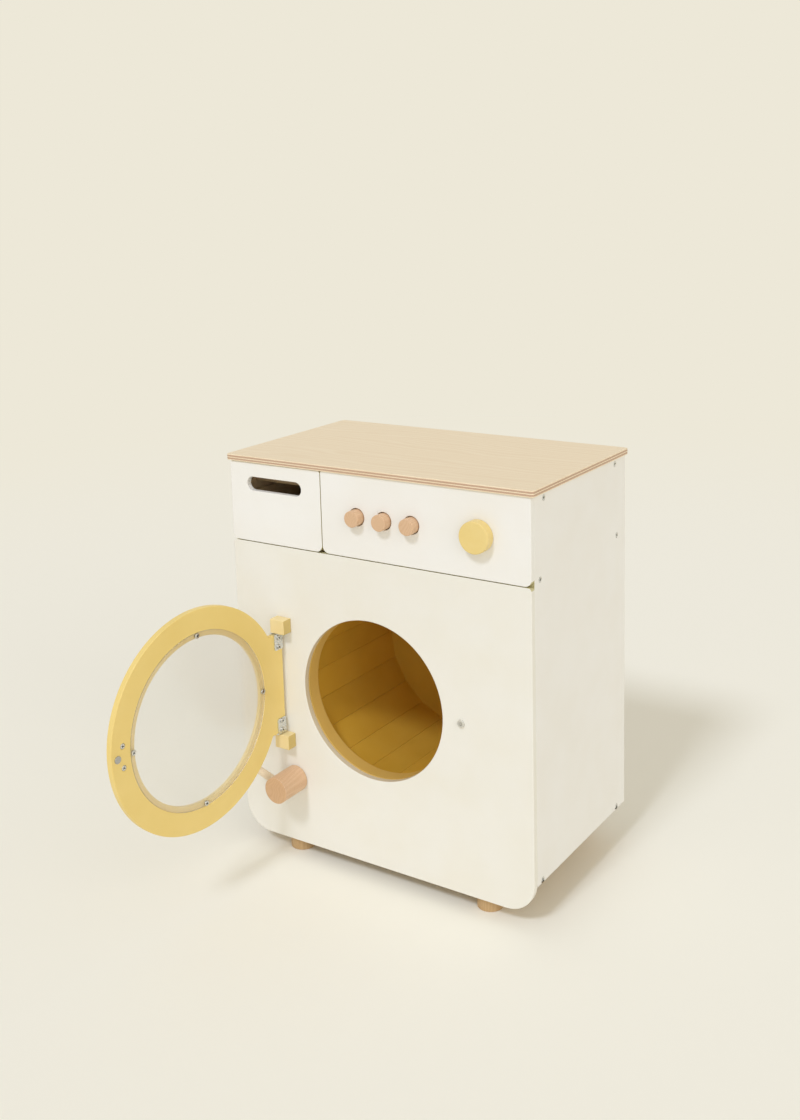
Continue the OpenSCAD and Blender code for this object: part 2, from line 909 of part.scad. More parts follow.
module hinge_screws() {
    color(steel) in_door() hinge_screw_places() screw(tiny_l);
}

// Drawer
module drawer_front() {
    h = row_h - drawer_top_gap;
    color(white) placed() difference() {
        upright(0, front_t) translate([-half_w, row_z])
            rounded(drawer_w, h, [row_corner_r, row_corner_r, panel_r, panel_r]);
        upright(-eps, front_t + 2 * eps) translate([slot_x - slot_l / 2, row_z + slot_up - slot_h / 2])
            rounded(slot_l, slot_h, [slot_h / 2, slot_h / 2, slot_h / 2, slot_h / 2]);
        drawer_screw_places() screw_hole(short_l);
    }
}

module drawer_screw_places() {
    for (x = [0.2, 0.8])
        translate([box_x + box_w * x, front_t + box_t, box_z + box_h / 2]) point_back() children();
}

module drawer_inner_front() {
    color(birch) placed() difference() {
        translate([box_x + box_t, front_t, box_z]) cube([box_w - 2 * box_t, box_t, box_h]);
        drawer_screw_places() screw_hole(short_l);
    }
}

module drawer_sides() {
    color(birch) placed() for (x = [box_x, box_x + box_w - box_t])
        translate([x, front_t, box_z]) cube([box_t, box_l, box_h]);
}

module drawer_back() {
    h = rail_z - stop_h + stop_catch - box_z;
    color(birch) placed()
        translate([box_x + box_t, front_t + box_l - box_t, box_z]) cube([box_w - 2 * box_t, box_t, h]);
}

module drawer_bottom() {
    color(birch) placed()
        translate([box_x + box_t, front_t + box_t, box_z])
            cube([box_w - 2 * box_t, box_l - 2 * box_t, box_bottom_t]);
}

module drawer_screws() {
    color(steel) placed() drawer_screw_places() screw(short_l);
}

// Buttons, each with a collar behind the panel and a spring against the rail
module button(i) {
    collar_y = front_t + slide_gap;
    color(beech) placed() translate([button_x + i * button_pitch, 0, control_z]) {
        translate([0, -button_out, 0]) point_back() cylinder(d = button_d, h = button_out + collar_y);
        translate([0, collar_y, 0]) point_back()
            cylinder(d = button_d + 2 * (button_gap + flange_wall), h = flange_t);
        translate([0, collar_y + flange_t, 0]) point_back() cylinder(d = spigot_d, h = spigot_l);
    }
}

module button_spring(i) {
    from_y = front_t + slide_gap + flange_t;
    l = button_rail_y - from_y;
    x = button_x + i * button_pitch;
    color(steel) placed() translate([x, from_y, control_z]) point_back() difference() {
        cylinder(d = spring_in_d + 2 * spring_wall, h = l);
        translate([0, 0, -eps]) cylinder(d = spring_in_d, h = l + 2 * eps);
    }
}

module left_button() {
    button(0);
}

module middle_button() {
    button(1);
}

module right_button() {
    button(2);
}

module left_spring() {
    button_spring(0);
}

module middle_spring() {
    button_spring(1);
}

module right_spring() {
    button_spring(2);
}

// Dial
module dial_knob() {
    color(yellow) placed() translate([dial_x, -dial_gap - dial_out, control_z]) point_back() difference() {
        cylinder(d = dial_d, h = dial_out);
        translate([0, 0, dial_seat]) cylinder(d = dial_axle_d + 2 * glue_gap, h = dial_out);
    }
}

module dial_axle() {
    from_y = -dial_gap - dial_out + dial_seat;
    color(beech) placed() difference() {
        translate([dial_x, from_y, control_z]) point_back()
            cylinder(d = dial_axle_d, h = washer_y - from_y);
        dial_screw_place() screw_hole(short_l);
    }
}

module dial_screw_place() {
    translate([dial_x, washer_y + washer_t, control_z]) point_back() children();
}

module dial_washer() {
    color(birch) placed() difference() {
        translate([dial_x, washer_y, control_z]) point_back() cylinder(d = washer_d, h = washer_t);
        dial_screw_place() screw_hole(short_l);
    }
}

module dial_screw() {
    color(steel) placed() dial_screw_place() screw(short_l);
}

top_panel();
left_side_panel();
right_side_panel();
back_panel();
bottom_board();
shelf_board();
top_rails();
drawer_partition();
drawer_stop();
lower_front_panel();
control_panel();
battens();
button_rail();
feet();
cabinet_screws();
inner_screws();
rail_screws();
hinge_blocks();
latch_plate();
latch_screw();
bearing_block();
drum_bush();
wheel_brackets();
idler_axle();
drum_front_ring();
drum_staves();
drum_back();
drum_axle();
axle_screws();
crank_hub();
crank_lever();
crank_shaft();
drive_wheel();
drive_tyre();
idler_wheel();
idler_tyre();
door_ring();
door_window();
window_screws();
door_handle();
handle_screws();
door_magnet();
hinge_brackets();
hinge_screws();
drawer_front();
drawer_inner_front();
drawer_sides();
drawer_back();
drawer_bottom();
drawer_screws();
left_button();
middle_button();
right_button();
left_spring();
middle_spring();
right_spring();
dial_knob();
dial_axle();
dial_washer();
dial_screw();
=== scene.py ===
import json
import math

import bmesh
import bpy
from mathutils import Matrix, Vector


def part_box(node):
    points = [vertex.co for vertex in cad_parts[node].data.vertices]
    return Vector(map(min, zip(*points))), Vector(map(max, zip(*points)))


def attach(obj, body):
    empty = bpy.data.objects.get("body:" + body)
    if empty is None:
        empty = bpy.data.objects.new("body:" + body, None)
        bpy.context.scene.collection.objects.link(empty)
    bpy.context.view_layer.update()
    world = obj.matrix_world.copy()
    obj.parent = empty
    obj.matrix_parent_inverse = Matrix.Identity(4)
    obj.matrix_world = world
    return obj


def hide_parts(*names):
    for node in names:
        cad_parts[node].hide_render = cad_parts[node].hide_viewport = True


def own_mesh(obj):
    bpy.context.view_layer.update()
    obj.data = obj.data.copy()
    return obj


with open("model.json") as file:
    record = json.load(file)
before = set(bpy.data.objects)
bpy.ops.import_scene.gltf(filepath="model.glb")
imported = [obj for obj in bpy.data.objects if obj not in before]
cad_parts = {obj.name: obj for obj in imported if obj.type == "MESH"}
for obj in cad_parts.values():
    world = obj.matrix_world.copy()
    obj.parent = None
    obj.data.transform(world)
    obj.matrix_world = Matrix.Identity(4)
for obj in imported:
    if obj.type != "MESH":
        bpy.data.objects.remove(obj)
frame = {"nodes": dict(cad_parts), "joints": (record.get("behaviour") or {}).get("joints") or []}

scene = bpy.context.scene
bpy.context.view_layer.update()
cadNodes = frame["nodes"]
mm = 0.001
touch = 0.1 * mm  # closer than this counts as touching
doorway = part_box("lower_front_panel")  # the panel that everything on the front lines up with
print("frame loaded:", len(cadNodes), "nodes")


# Colours are typed as they look on screen and turned into the linear values that shaders use
def shade(r, g, b):
    linear = []
    for value in (r, g, b):
        v = value / 255
        linear.append(v / 12.92 if v <= 0.04045 else ((v + 0.055) / 1.055) ** 2.4)
    return (*linear, 1.0)


# Camera, measured from the front panel's lower left corner
cameraSet = {
    "place": Vector((1072.1, -1209.5, 844.1)) * mm,
    "azimuth": 33.80,
    "elevation": 9.90,
    "roll": -1.60,
    "focalPixels": 1286.8,
    "frameHeight": 1120,
    "axisBelowTop": 403.97,
    "sensor": 36.0,
}


def makeCamera():
    s = cameraSet
    a, e, r = (math.radians(s[k]) for k in ("azimuth", "elevation", "roll"))
    back = Vector((math.sin(a) * math.cos(e), -math.cos(a) * math.cos(e), math.sin(e)))
    level = Vector((math.cos(a), math.sin(a), 0))
    upright = level.cross(-back)
    right = math.cos(r) * level + math.sin(r) * upright
    up = -math.sin(r) * level + math.cos(r) * upright
    data = bpy.data.cameras.new("photoCamera")
    data.sensor_width = s["sensor"]
    data.lens = s["focalPixels"] / s["frameHeight"] * s["sensor"]
    data.shift_y = (s["axisBelowTop"] - s["frameHeight"] / 2) / s["frameHeight"]
    camera = bpy.data.objects.new("photoCamera", data)
    corner = doorway[0]
    spot = corner + s["place"]
    turn = Matrix((right, up, back)).transposed().to_4x4()
    camera.matrix_world = Matrix.Translation(spot) @ turn
    scene.collection.objects.link(camera)
    scene.camera = camera


makeCamera()
print("camera placed")


# A node tree: an input is linked when it is given a socket, and set when it is given a value
class Tree:
    def __init__(self, data):
        self.data = data

    def feed(self, node, inputs):
        for key, value in inputs.items():
            if isinstance(value, bpy.types.NodeSocket):
                self.data.links.new(value, node.inputs[key])
            elif value is not None:
                node.inputs[key].default_value = value

    def add(self, kind, inputs=None, **settings):
        node = self.data.nodes.new(kind)
        for key, value in settings.items():
            setattr(node, key, value)
        self.feed(node, inputs or {})
        return node

    def math(self, operation, *values):
        return self.add("ShaderNodeMath", dict(enumerate(values)), operation=operation).outputs[0]

    def times(self, a, b):
        return self.math("MULTIPLY", a, b)

    def join(self, x, y, z):
        return self.add("ShaderNodeCombineXYZ", {0: x, 1: y, 2: z}).outputs[0]

    def alongZ(self, z):
        return self.join(None, None, z)

    def scale(self, vector, scale):
        return self.add("ShaderNodeVectorMath", {0: vector, 3: scale}, operation="SCALE").outputs[0]

    # Turns coordinates so that the given axis becomes Z of the pattern
    def turn(self, vector, axis):
        inputs = {"Vector": vector, "Rotation": Vector(axis).to_track_quat("Z", "Y").to_euler()}
        return self.add("ShaderNodeMapping", inputs, vector_type="TEXTURE").outputs[0]

    def mix(self, factor, a, b):
        inputs = {0: factor, 6: a, 7: b}
        return self.add("ShaderNodeMix", inputs, data_type="RGBA", clamp_factor=True).outputs[2]

    def mixShaders(self, factor, a, b, output="Material Output"):
        mixer = self.add("ShaderNodeMixShader", {0: factor, 1: a.outputs[0], 2: b.outputs[0]})
        self.feed(self.data.nodes[output], {"Surface": mixer.outputs[0]})

    # From black at the lower value to white at the upper one
    def ramp(self, value, low, high):
        node = self.add("ShaderNodeValToRGB", {0: value})
        for element, place in zip(node.color_ramp.elements, (low, high)):
            element.position = place
        return node.outputs[0]

    def noise(self, vector, detail, roughness=None):
        inputs = {"Vector": vector, "Scale": 1.0, "Detail": detail, "Roughness": roughness}
        return self.add("ShaderNodeTexNoise", inputs, noise_dimensions="3D").outputs[0]

    # Noise whose size is given in millimetres
    def sizedNoise(self, vector, size, detail):
        return self.noise(self.scale(vector, self.math("DIVIDE", 1000.0, size)), detail)

    def useGroup(self, group, inputs):
        return self.add("ShaderNodeGroup", inputs, node_tree=group.data).outputs

    def bump(self, surface, height, depth):
        bump = self.add("ShaderNodeBump", {"Strength": 1.0, "Distance": depth, "Height": height})
        self.feed(surface, {"Normal": bump.outputs[0]})


# A node group: an input's kind follows its first value, or is named where it has none
def makeTree(name, kind, inputs, outputs):
    data = bpy.data.node_groups.new(name, kind)
    keys = {}
    for label, value in inputs.items():
        sort = value if isinstance(value, str) else {int: "Int", float: "Float"}[type(value)]
        socket = data.interface.new_socket(label, in_out="INPUT", socket_type="NodeSocket" + sort)
        if sort != value:
            socket.default_value = value
        keys[label] = socket.identifier
    for label, sort in outputs.items():
        data.interface.new_socket(label, in_out="OUTPUT", socket_type="NodeSocket" + sort)
    return Tree(data), data.nodes.new("NodeGroupInput").outputs, data.nodes.new("NodeGroupOutput"), keys


def makeGroup(name, inputs, outputs):
    return makeTree(name, "ShaderNodeTree", inputs, dict.fromkeys(outputs, "Float"))[:3]


# Wood: fibres run along Z of the vector that comes in
def makeWoodGroup():
    tree, given, result = makeGroup(
        "woodFibres",
        {"Vector": "Vector", "Fibre Size": 0.4, "Fibre Length": 30.0, "Ring Width": 6.0, "Ring Bend": 0.5,
         "Fleck Amount": 0.5},
        ("Fibre", "Rings", "Flecks", "Height"))
    x, y, z = tree.add("ShaderNodeSeparateXYZ", {0: tree.scale(given["Vector"], 1000.0)}).outputs

    def stretched(across, along):
        pairs = ((x, across), (y, across), (z, along))
        return tree.join(*(tree.math("DIVIDE", a, b) for a, b in pairs))

    size = given["Fibre Size"]
    long = tree.times(size, given["Fibre Length"])
    fibre = tree.ramp(tree.noise(stretched(size, long), 5.0, 0.6), 0.3, 0.7)

    # Growth rings are the height of a slowly bending field, so they open into arches on a flat face
    wander = tree.noise(stretched(40.0, 260.0), 2.0)
    lean = tree.math("MULTIPLY_ADD", y, 0.35, x)
    turns = tree.math("DIVIDE", lean, given["Ring Width"])
    bend = tree.times(wander, tree.times(given["Ring Bend"], 30.0))
    wave = tree.math("SINE", tree.times(tree.math("ADD", turns, bend), 2 * math.pi))
    rings = tree.math("MULTIPLY_ADD", wave, 0.5, 0.5)

    cells = tree.add("ShaderNodeTexVoronoi", {"Scale": 1.0, "Vector": stretched(0.55, 2.6)}, feature="F1")
    amount = tree.times(given["Fleck Amount"], 0.36)
    fleck = tree.math("LESS_THAN", cells.outputs["Distance"], amount)
    height = tree.math("SUBTRACT", fibre, tree.times(fleck, 0.6))
    tree.feed(result, {"Fibre": fibre, "Rings": rings, "Flecks": fleck, "Height": height})
    return tree


# Sprayed paint: soft blotches in its tone and the faint peel of a sprayed coat
def makePaintGroup():
    tree, given, result = makeGroup(
        "paintFilm", {"Vector": "Vector", "Blotch Size": 60.0, "Peel Size": 1.4}, ("Blotch", "Peel", "Dust"))
    vector = given["Vector"]
    tree.feed(result, {
        "Blotch": tree.ramp(tree.sizedNoise(vector, given["Blotch Size"], 3.0), 0.3, 0.7),
        "Peel": tree.sizedNoise(vector, given["Peel Size"], 2.0),
        "Dust": tree.ramp(tree.sizedNoise(vector, 0.9, 1.0), 0.70, 0.76)})
    return tree


# Plywood: layers across the thickness, with a thin dark glue line between neighbours
def makePlyGroup():
    tree, given, result = makeGroup(
        "plyLayers", {"Depth": 0.0, "Thickness": 8.0, "Plies": 5.0, "Line": 0.10}, ("Cross Ply", "Glue Line"))
    plies = given["Plies"]
    place = tree.times(tree.math("DIVIDE", given["Depth"], given["Thickness"]), plies)
    place = tree.math("MINIMUM", place, tree.math("SUBTRACT", plies, 0.01))
    cross = tree.math("MODULO", tree.math("ABSOLUTE", tree.math("FLOOR", place)), 2.0)
    within = tree.math("PINGPONG", tree.math("FRACT", place), 0.5)
    near = tree.math("LESS_THAN", within, given["Line"])
    last = tree.math("LESS_THAN", place, tree.math("SUBTRACT", plies, 0.5))
    inner = tree.times(tree.math("GREATER_THAN", place, 0.5), last)
    tree.feed(result, {"Cross Ply": cross, "Glue Line": tree.times(near, inner)})
    return tree


# Plated and ground metal: fine scratches and cloudy plating
def makeMetalGroup():
    tree, given, result = makeGroup(
        "metalSkin", {"Vector": "Vector", "Scratch Size": 0.25, "Cloud Size": 5.0}, ("Scratches", "Clouds"))
    tree.feed(result, {
        "Scratches": tree.sizedNoise(given["Vector"], given["Scratch Size"], 4.0),
        "Clouds": tree.sizedNoise(given["Vector"], given["Cloud Size"], 3.0)})
    return tree


woodFibres = makeWoodGroup()
paintFilm = makePaintGroup()
plyLayers = makePlyGroup()
metalSkin = makeMetalGroup()


def startMaterial(name):
    material = bpy.data.materials.new(name)
    material.use_nodes = True
    tree = Tree(material.node_tree)
    where = tree.add("ShaderNodeTexCoord").outputs["Object"]
    return material, tree, tree.data.nodes["Principled BSDF"], where


def dimmed(colour, share):
    return (*(c * share for c in colour[:3]), 1.0)


# Paint over plywood, in two near tones
def paintFinish(name, colour, warmer, roughness=0.42, blotch=60.0, tone=None):
    material, tree, surface, where = startMaterial(name)
    film = tree.useGroup(paintFilm, {"Vector": where, "Blotch Size": blotch, "Peel Size": 1.4})
    base = tree.mix(film["Blotch"], shade(*colour), shade(*warmer))
    if tone:
        stored = tree.add("ShaderNodeAttribute", attribute_name=tone)
        base = tree.scale(base, tree.math("MULTIPLY_ADD", stored.outputs["Fac"], 0.07, 0.95))
    rough = tree.math("MULTIPLY_ADD", film["Blotch"], 0.08, roughness - 0.04)
    rough = tree.math("MULTIPLY_ADD", film["Dust"], 0.12, rough)
    tree.feed(surface, {"Base Color": base, "Roughness": rough, "Specular IOR Level": 0.4})
    tree.bump(surface, film["Peel"], 0.00004)
    return material


# Fibre and ring tones of a wood mixed by their shares, and what both wood finishes feed to the surface
def woodTone(tree, wood, fibreShare, ringShare, light, dark):
    tone = tree.math("ADD", tree.times(wood["Fibre"], fibreShare), tree.times(wood["Rings"], ringShare))
    return tree.mix(tone, light, dark)


def woodSurface(tree, surface, wood, base, roughness, specular):
    rough = tree.math("MULTIPLY_ADD", wood["Fibre"], 0.10, roughness)
    tree.feed(surface, {"Base Color": base, "Roughness": rough, "Specular IOR Level": specular})
    tree.bump(surface, wood["Height"], 0.00003)


# Solid wood: light and dark are its two main tones
def woodFinish(name, light, dark, axis, roughness=0.45, ring=5.0, fibre=0.35):
    material, tree, surface, where = startMaterial(name)
    light, dark = shade(*light), shade(*dark)
    wood = tree.useGroup(woodFibres, {
        "Vector": tree.turn(where, axis), "Fibre Size": fibre, "Fibre Length": 28.0,
        "Ring Width": ring, "Ring Bend": 0.5, "Fleck Amount": 0.6})
    base = woodTone(tree, wood, 0.55, 0.45, light, dark)
    base = tree.mix(tree.times(wood["Flecks"], 0.45), base, dimmed(dark, 0.62))
    woodSurface(tree, surface, wood, base, roughness, 0.45)
    return material


# Plywood seen as a solid: layers across one axis, grain along another
def plyFinish(name, node, light, dark, glue, across, grain, roughness=0.5, crossTone=0.5, cross=None,
              ring=26.0, bend=0.9):
    material, tree, surface, where = startMaterial(name)
    light, dark = shade(*light), shade(*dark)
    low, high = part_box(node)
    i = "xyz".index(across)
    along = tuple(float(letter == grain) for letter in "xyz")
    parts = tree.add("ShaderNodeSeparateXYZ", {0: where}).outputs
    depth = tree.times(tree.math("SUBTRACT", parts[i], low[i]), 1000.0)
    layers = tree.useGroup(plyLayers, {"Depth": depth, "Thickness": (high[i] - low[i]) / mm, "Plies": 5.0})
    wood = tree.useGroup(woodFibres, {
        "Vector": tree.turn(where, along), "Fibre Size": 0.5, "Fibre Length": 40.0,
        "Ring Width": ring, "Ring Bend": bend, "Fleck Amount": 0.3})
    base = woodTone(tree, wood, 0.40, 0.60, light, dark)
    endGrain = shade(*cross) if cross else dimmed(dark, 0.80)
    base = tree.mix(tree.times(layers["Cross Ply"], crossTone), base, endGrain)
    base = tree.mix(tree.times(layers["Glue Line"], 0.75), base, shade(*glue))
    woodSurface(tree, surface, wood, base, roughness, 0.4)
    return material


def metalFinish(name, colour, roughness=0.3, scratch=0.25, shadeBy=None):
    material, tree, surface, where = startMaterial(name)
    colour = shade(*colour)
    skin = tree.useGroup(metalSkin, {"Vector": where, "Scratch Size": scratch, "Cloud Size": 4.0})
    base = tree.mix(skin["Clouds"], dimmed(colour, 0.90), colour)
    # Painted shade: a stored per-face value darkens the colour towards black
    if shadeBy:
        stored = tree.add("ShaderNodeAttribute", attribute_name=shadeBy)
        base = tree.mix(stored.outputs["Fac"], base, dimmed(colour, 0.10))
    rough = tree.math("MULTIPLY_ADD", skin["Clouds"], 0.15, roughness - 0.05)
    tree.feed(surface, {"Base Color": base, "Metallic": 1.0, "Roughness": rough})
    tree.bump(surface, skin["Scratches"], 0.000004)
    return material


def rubberFinish(name, colour):
    material, tree, surface, where = startMaterial(name)
    colour = shade(*colour)
    skin = tree.useGroup(metalSkin, {"Vector": where, "Scratch Size": 0.6, "Cloud Size": 8.0})
    base = tree.mix(skin["Clouds"], colour, dimmed(colour, 1.8))
    tree.feed(surface, {"Base Color": base, "Roughness": 0.75})
    tree.bump(surface, skin["Scratches"], 0.00005)
    return material


# Clear sheet with a faint haze: light passes straight through it, so what lies behind keeps its brightness
def clearFinish(name, tint):
    material, tree, surface, where = startMaterial(name)
    film = tree.useGroup(paintFilm, {"Vector": where, "Blotch Size": 90.0, "Peel Size": 3.0})
    tree.feed(surface, {
        "Base Color": tree.mix(film["Blotch"], tint, dimmed(tint, 0.985)), "Transmission Weight": 0.94,
        "Roughness": 0.16, "IOR": 1.49, "Specular IOR Level": 0.2})
    through = tree.add("ShaderNodeBsdfTransparent", {0: dimmed(tint, 0.97)})
    rays = tree.add("ShaderNodeLightPath").outputs
    passing = tree.math("MAXIMUM", rays["Is Shadow Ray"], rays["Is Diffuse Ray"])
    tree.mixShaders(passing, surface, through)
    return material


whitePaint = paintFinish("whitePaint", (241, 239, 234), (239, 236, 229))
# Painted shade: the lower front panel gets a darker, warmer copy of the white paint, for the light falling
# off towards the floor
lowerPaint = paintFinish("lowerPaint", (237, 234, 225), (235, 231, 219))
# Painted shade: the mouth's bore wall gets a darker, warmer paint than the panel, for the shade inside the
# bore
borePaint = paintFinish("borePaint", (226, 214, 186), (222, 209, 179))
yellowPaint = paintFinish("yellowPaint", (240, 213, 135), (236, 208, 127), roughness=0.38)
# Painted light: the hinge blocks get a paler copy of the yellow paint, for the stronger light on them
blockLitPaint = paintFinish("hingeBlockPaint", (239, 217, 160), (235, 211, 150), roughness=0.38)
# Painted shade: the hinge blocks' side faces get a darker copy of their yellow paint
blockSideShadedPaint = paintFinish("hingeBlockEndPaint", (209, 184, 115), (204, 178, 107), roughness=0.45)
# Painted reflection: the window ledge gets a paler copy of the yellow paint, for the clear sheet's haze and
# reflections over it
ledgePaint = paintFinish("ledgePaint", (243, 219, 154), (239, 213, 146), roughness=0.45)
dialPaint = paintFinish("dialPaint", (235, 210, 140), (232, 205, 130), roughness=0.36, blotch=20.0)
drumPaint = paintFinish("drumPaint", (220, 178, 68), (213, 169, 58), roughness=0.45, tone="staveTone")
# Painted shade: the drum's front ring gets a darker, deeper copy of the yellow paint, for the shade inside
# the mouth
ringShadedPaint = paintFinish("drumRingPaint", (220, 184, 102), (214, 176, 90))
birchTop = plyFinish("birchTop", "top_panel", (243, 226, 196), (236, 215, 182), (140, 92, 70), "z", "x",
                     roughness=0.38, crossTone=0.9, cross=(196, 158, 132), ring=9.0, bend=0.22)
beechWood = woodFinish("beechWood", (223, 188, 152), (211, 172, 135), (0, 1, 0), roughness=0.42, fibre=0.22)
beechEnd = woodFinish("beechEnd", (212, 174, 134), (200, 159, 117), (0, 1, 0))
footWood = woodFinish("footWood", (203, 171, 125), (185, 149, 103), (0, 0, 1))
dowelWood = woodFinish("dowelWood", (242, 226, 200), (230, 210, 178), (-1, 0, 0.32), ring=4.0)
plainWood = woodFinish("battenWood", (232, 208, 168), (214, 184, 138), (0, 0, 1), ring=7.0)
bareInside = woodFinish("bareInside", (232, 208, 168), (218, 190, 148), (0, 0, 1), ring=20.0)
edgeWood = woodFinish("edgeWood", (204, 196, 152), (192, 183, 138), (1, 0, 0), ring=9.0)
railWood = woodFinish("railWood", (232, 208, 168), (214, 184, 138), (1, 0, 0), ring=7.0)
handleWood = woodFinish("handleWood", (222, 184, 142), (203, 160, 117), (0, 0, 1), roughness=0.42)
# The screw zinc carries painted shade in each head's cross recess and down its rim
zinc = metalFinish("zincScrew", (240, 240, 236), roughness=0.26, shadeBy="recess")
zincSheet = metalFinish("zincSheet", (226, 229, 230), roughness=0.24)
groundSteel = metalFinish("groundSteel", (186, 188, 192), roughness=0.32, scratch=0.5)
nickel = metalFinish("magnetNickel", (186, 186, 184), roughness=0.22)
latchSteel = metalFinish("latchSteel", (222, 221, 216), roughness=0.50)
brass = metalFinish("bushBrass", (214, 180, 110))
tyreRubber = rubberFinish("tyreRubber", (38, 38, 38))
clearSheet = clearFinish("clearSheet", (0.968, 0.962, 0.940, 1.0))
print("materials made")


# Outlines are lists of (u, v): outer ones run anticlockwise and holes clockwise
def arcPoints(centre, radius, fromAngle, toAngle, steps):
    angles = (math.radians(fromAngle + (toAngle - fromAngle) * i / steps) for i in range(steps + 1))
    return [(centre[0] + radius * math.cos(a), centre[1] + radius * math.sin(a)) for a in angles]


def roundedShape(low, high, radii, steps=10, hole=False):
    way = -1 if hole else 1

    def at(inset):
        points = []
        (u0, v0), (u1, v1) = low, high
        places = ((u0, v0, 1, 1), (u1, v0, -1, 1), (u1, v1, -1, -1), (u0, v1, 1, -1))
        for (u, v, du, dv), start, r in zip(places, (180, 270, 0, 90), radii):
            left = max(r - way * inset, 0.02 * mm)
            centre = (u + du * (way * inset + left), v + dv * (way * inset + left))
            points += arcPoints(centre, left, start, start + 90, steps)
        return points[::-1] if hole else points

    return at


def circleShape(centre, radius, steps=160, hole=True):
    def at(inset):
        points = arcPoints(centre, radius + (inset if hole else -inset), 0, 360, steps)[:-1]
        return points[::-1] if hole else points

    return at


# Rounds the corners of a profile, and puts a point close beside each round so that flats stay flat
def easeCorners(points, radii, steps=4, hold=0.25 * mm):
    result = []
    last = len(points) - 1
    for i, p in enumerate(points):
        r = radii[i]
        if i in (0, last) or r <= 0:
            result.append(p)
            continue
        here, before, after = Vector(p), Vector(points[i - 1]), Vector(points[i + 1])
        a, b = (before - here).normalized(), (after - here).normalized()
        half = a.angle(b) / 2
        reach = r / math.tan(half)
        centre = here + (a + b).normalized() * (r / math.sin(half))
        first, final = here + a * reach - centre, here + b * reach - centre
        sweep = first.angle(final)
        result.append(tuple(here + a * (reach + hold)))
        for k in range(steps + 1):
            t = k / steps
            spoke = (math.sin((1 - t) * sweep) * first + math.sin(t * sweep) * final) / math.sin(sweep)
            result.append(tuple(centre + spoke))
        result.append(tuple(here + b * (reach + hold)))
    return result


def insetLoop(loop, inset):
    moved = []
    count = len(loop)
    for i, p in enumerate(loop):
        here, before, after = Vector(p), Vector(loop[i - 1]), Vector(loop[(i + 1) % count])
        a, b = (here - before).normalized(), (after - here).normalized()
        n1, n2 = Vector((-a.y, a.x)), Vector((-b.y, b.x))
        way = (n1 + n2).normalized()
        moved.append(tuple(here + way * (inset / max(way.dot(n1), 0.35))))
    return moved


# How far a profile runs in over a board's face, past its eased edge
def faceRun(ease):
    return 2 * ease + 0.3 * mm


def edgeProfile(thickness, ease, steps=4):
    run = faceRun(ease)
    return easeCorners([(run, 0), (0, 0), (0, thickness), (run, thickness)], (0, ease, ease, 0), steps)


def finishMesh(name, bm, material, sharp=38):
    bmesh.ops.remove_doubles(bm, verts=bm.verts, dist=1e-7)
    bmesh.ops.recalc_face_normals(bm, faces=bm.faces)
    for face in bm.faces:
        face.smooth = True
    for edge in bm.edges:
        if len(edge.link_faces) == 2 and edge.calc_face_angle(0) > math.radians(sharp):
            edge.smooth = False
    mesh = bpy.data.meshes.new(name)
    bm.to_mesh(mesh)
    bm.free()
    mesh.materials.append(material)
    piece = bpy.data.objects.new(name, mesh)
    scene.collection.objects.link(piece)
    return piece


# Gives a further material to the faces that pass a test
def paintFaces(piece, material, test):
    mesh = piece.data
    mesh.materials.append(material)
    for face in mesh.polygons:
        if test(face):
            face.material_index = len(mesh.materials) - 1


# The wall between rings of as many points, or of one point at the tip of a turned piece
def addWall(bm, rings):
    faces = []
    for lower, upper in zip(rings, rings[1:]):
        count = max(len(lower), len(upper))
        for i in range(count):
            j = (i + 1) % count
            if len(lower) == 1:
                verts = (lower[0], upper[i], upper[j])
            elif len(upper) == 1:
                verts = (lower[i], lower[j], upper[0])
            else:
                verts = (lower[i], lower[j], upper[j], upper[i])
            faces.append(bm.faces.new(verts))
    return faces


def ringEdges(bm, ring):
    return [bm.edges.get((vert, ring[(i + 1) % len(ring)])) for i, vert in enumerate(ring)]


def makeRings(bm, shape, profile, place):
    return [[bm.verts.new(place(u, v, depth)) for u, v in shape(inset)] for inset, depth in profile]


# A board from its shapes: each gives its loop at an inset, and has its own edge profile of (inset, depth)
def addBoard(bm, shapes, place):
    caps = ([], [])
    for shape, profile in shapes:
        rings = makeRings(bm, shape, profile, place)
        addWall(bm, rings)
        for cap, ring in zip(caps, (rings[0], rings[-1])):
            cap += ringEdges(bm, ring)
    for cap in caps:
        bmesh.ops.triangle_fill(bm, use_beauty=True, edges=cap)


def onFront(y):
    return lambda u, v, d: (u, y + d, v)


def onTop(z):
    return lambda u, v, d: (u, v, z + d)


def onSide(x):
    return lambda u, v, d: (x + d, u, v)


def boardPiece(name, shapes, place, material):
    bm = bmesh.new()
    addBoard(bm, shapes, place)
    return finishMesh(name, bm, material)


# A turned piece from its profile of (radius, distance along the axis)
def addTurned(bm, profile, origin, axis, segments):
    axis = Vector(axis).normalized()
    side = axis.orthogonal().normalized()
    other = axis.cross(side)
    angles = [2 * math.pi * i / segments for i in range(segments)]
    spokes = [side * math.cos(a) + other * math.sin(a) for a in angles]
    rings = []
    for radius, along in profile:
        centre = Vector(origin) + axis * along
        places = [centre] if radius < 1e-7 else [centre + spoke * radius for spoke in spokes]
        rings.append([bm.verts.new(place) for place in places])
    addWall(bm, rings)


def turnedPiece(name, profile, origin, axis, material, segments):
    bm = bmesh.new()
    addTurned(bm, profile, origin, axis, segments)
    return finishMesh(name, bm, material)


def settle(piece, body, slot, *nodes):
    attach(piece, body)
    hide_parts(*nodes)
    return piece


def corners(node):
    low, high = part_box(node)
    return low, high, (low + high) / 2


def pointBounds(points):
    low, high = (Vector(pick(p[i] for p in points) for i in range(3)) for pick in (min, max))
    return low, high


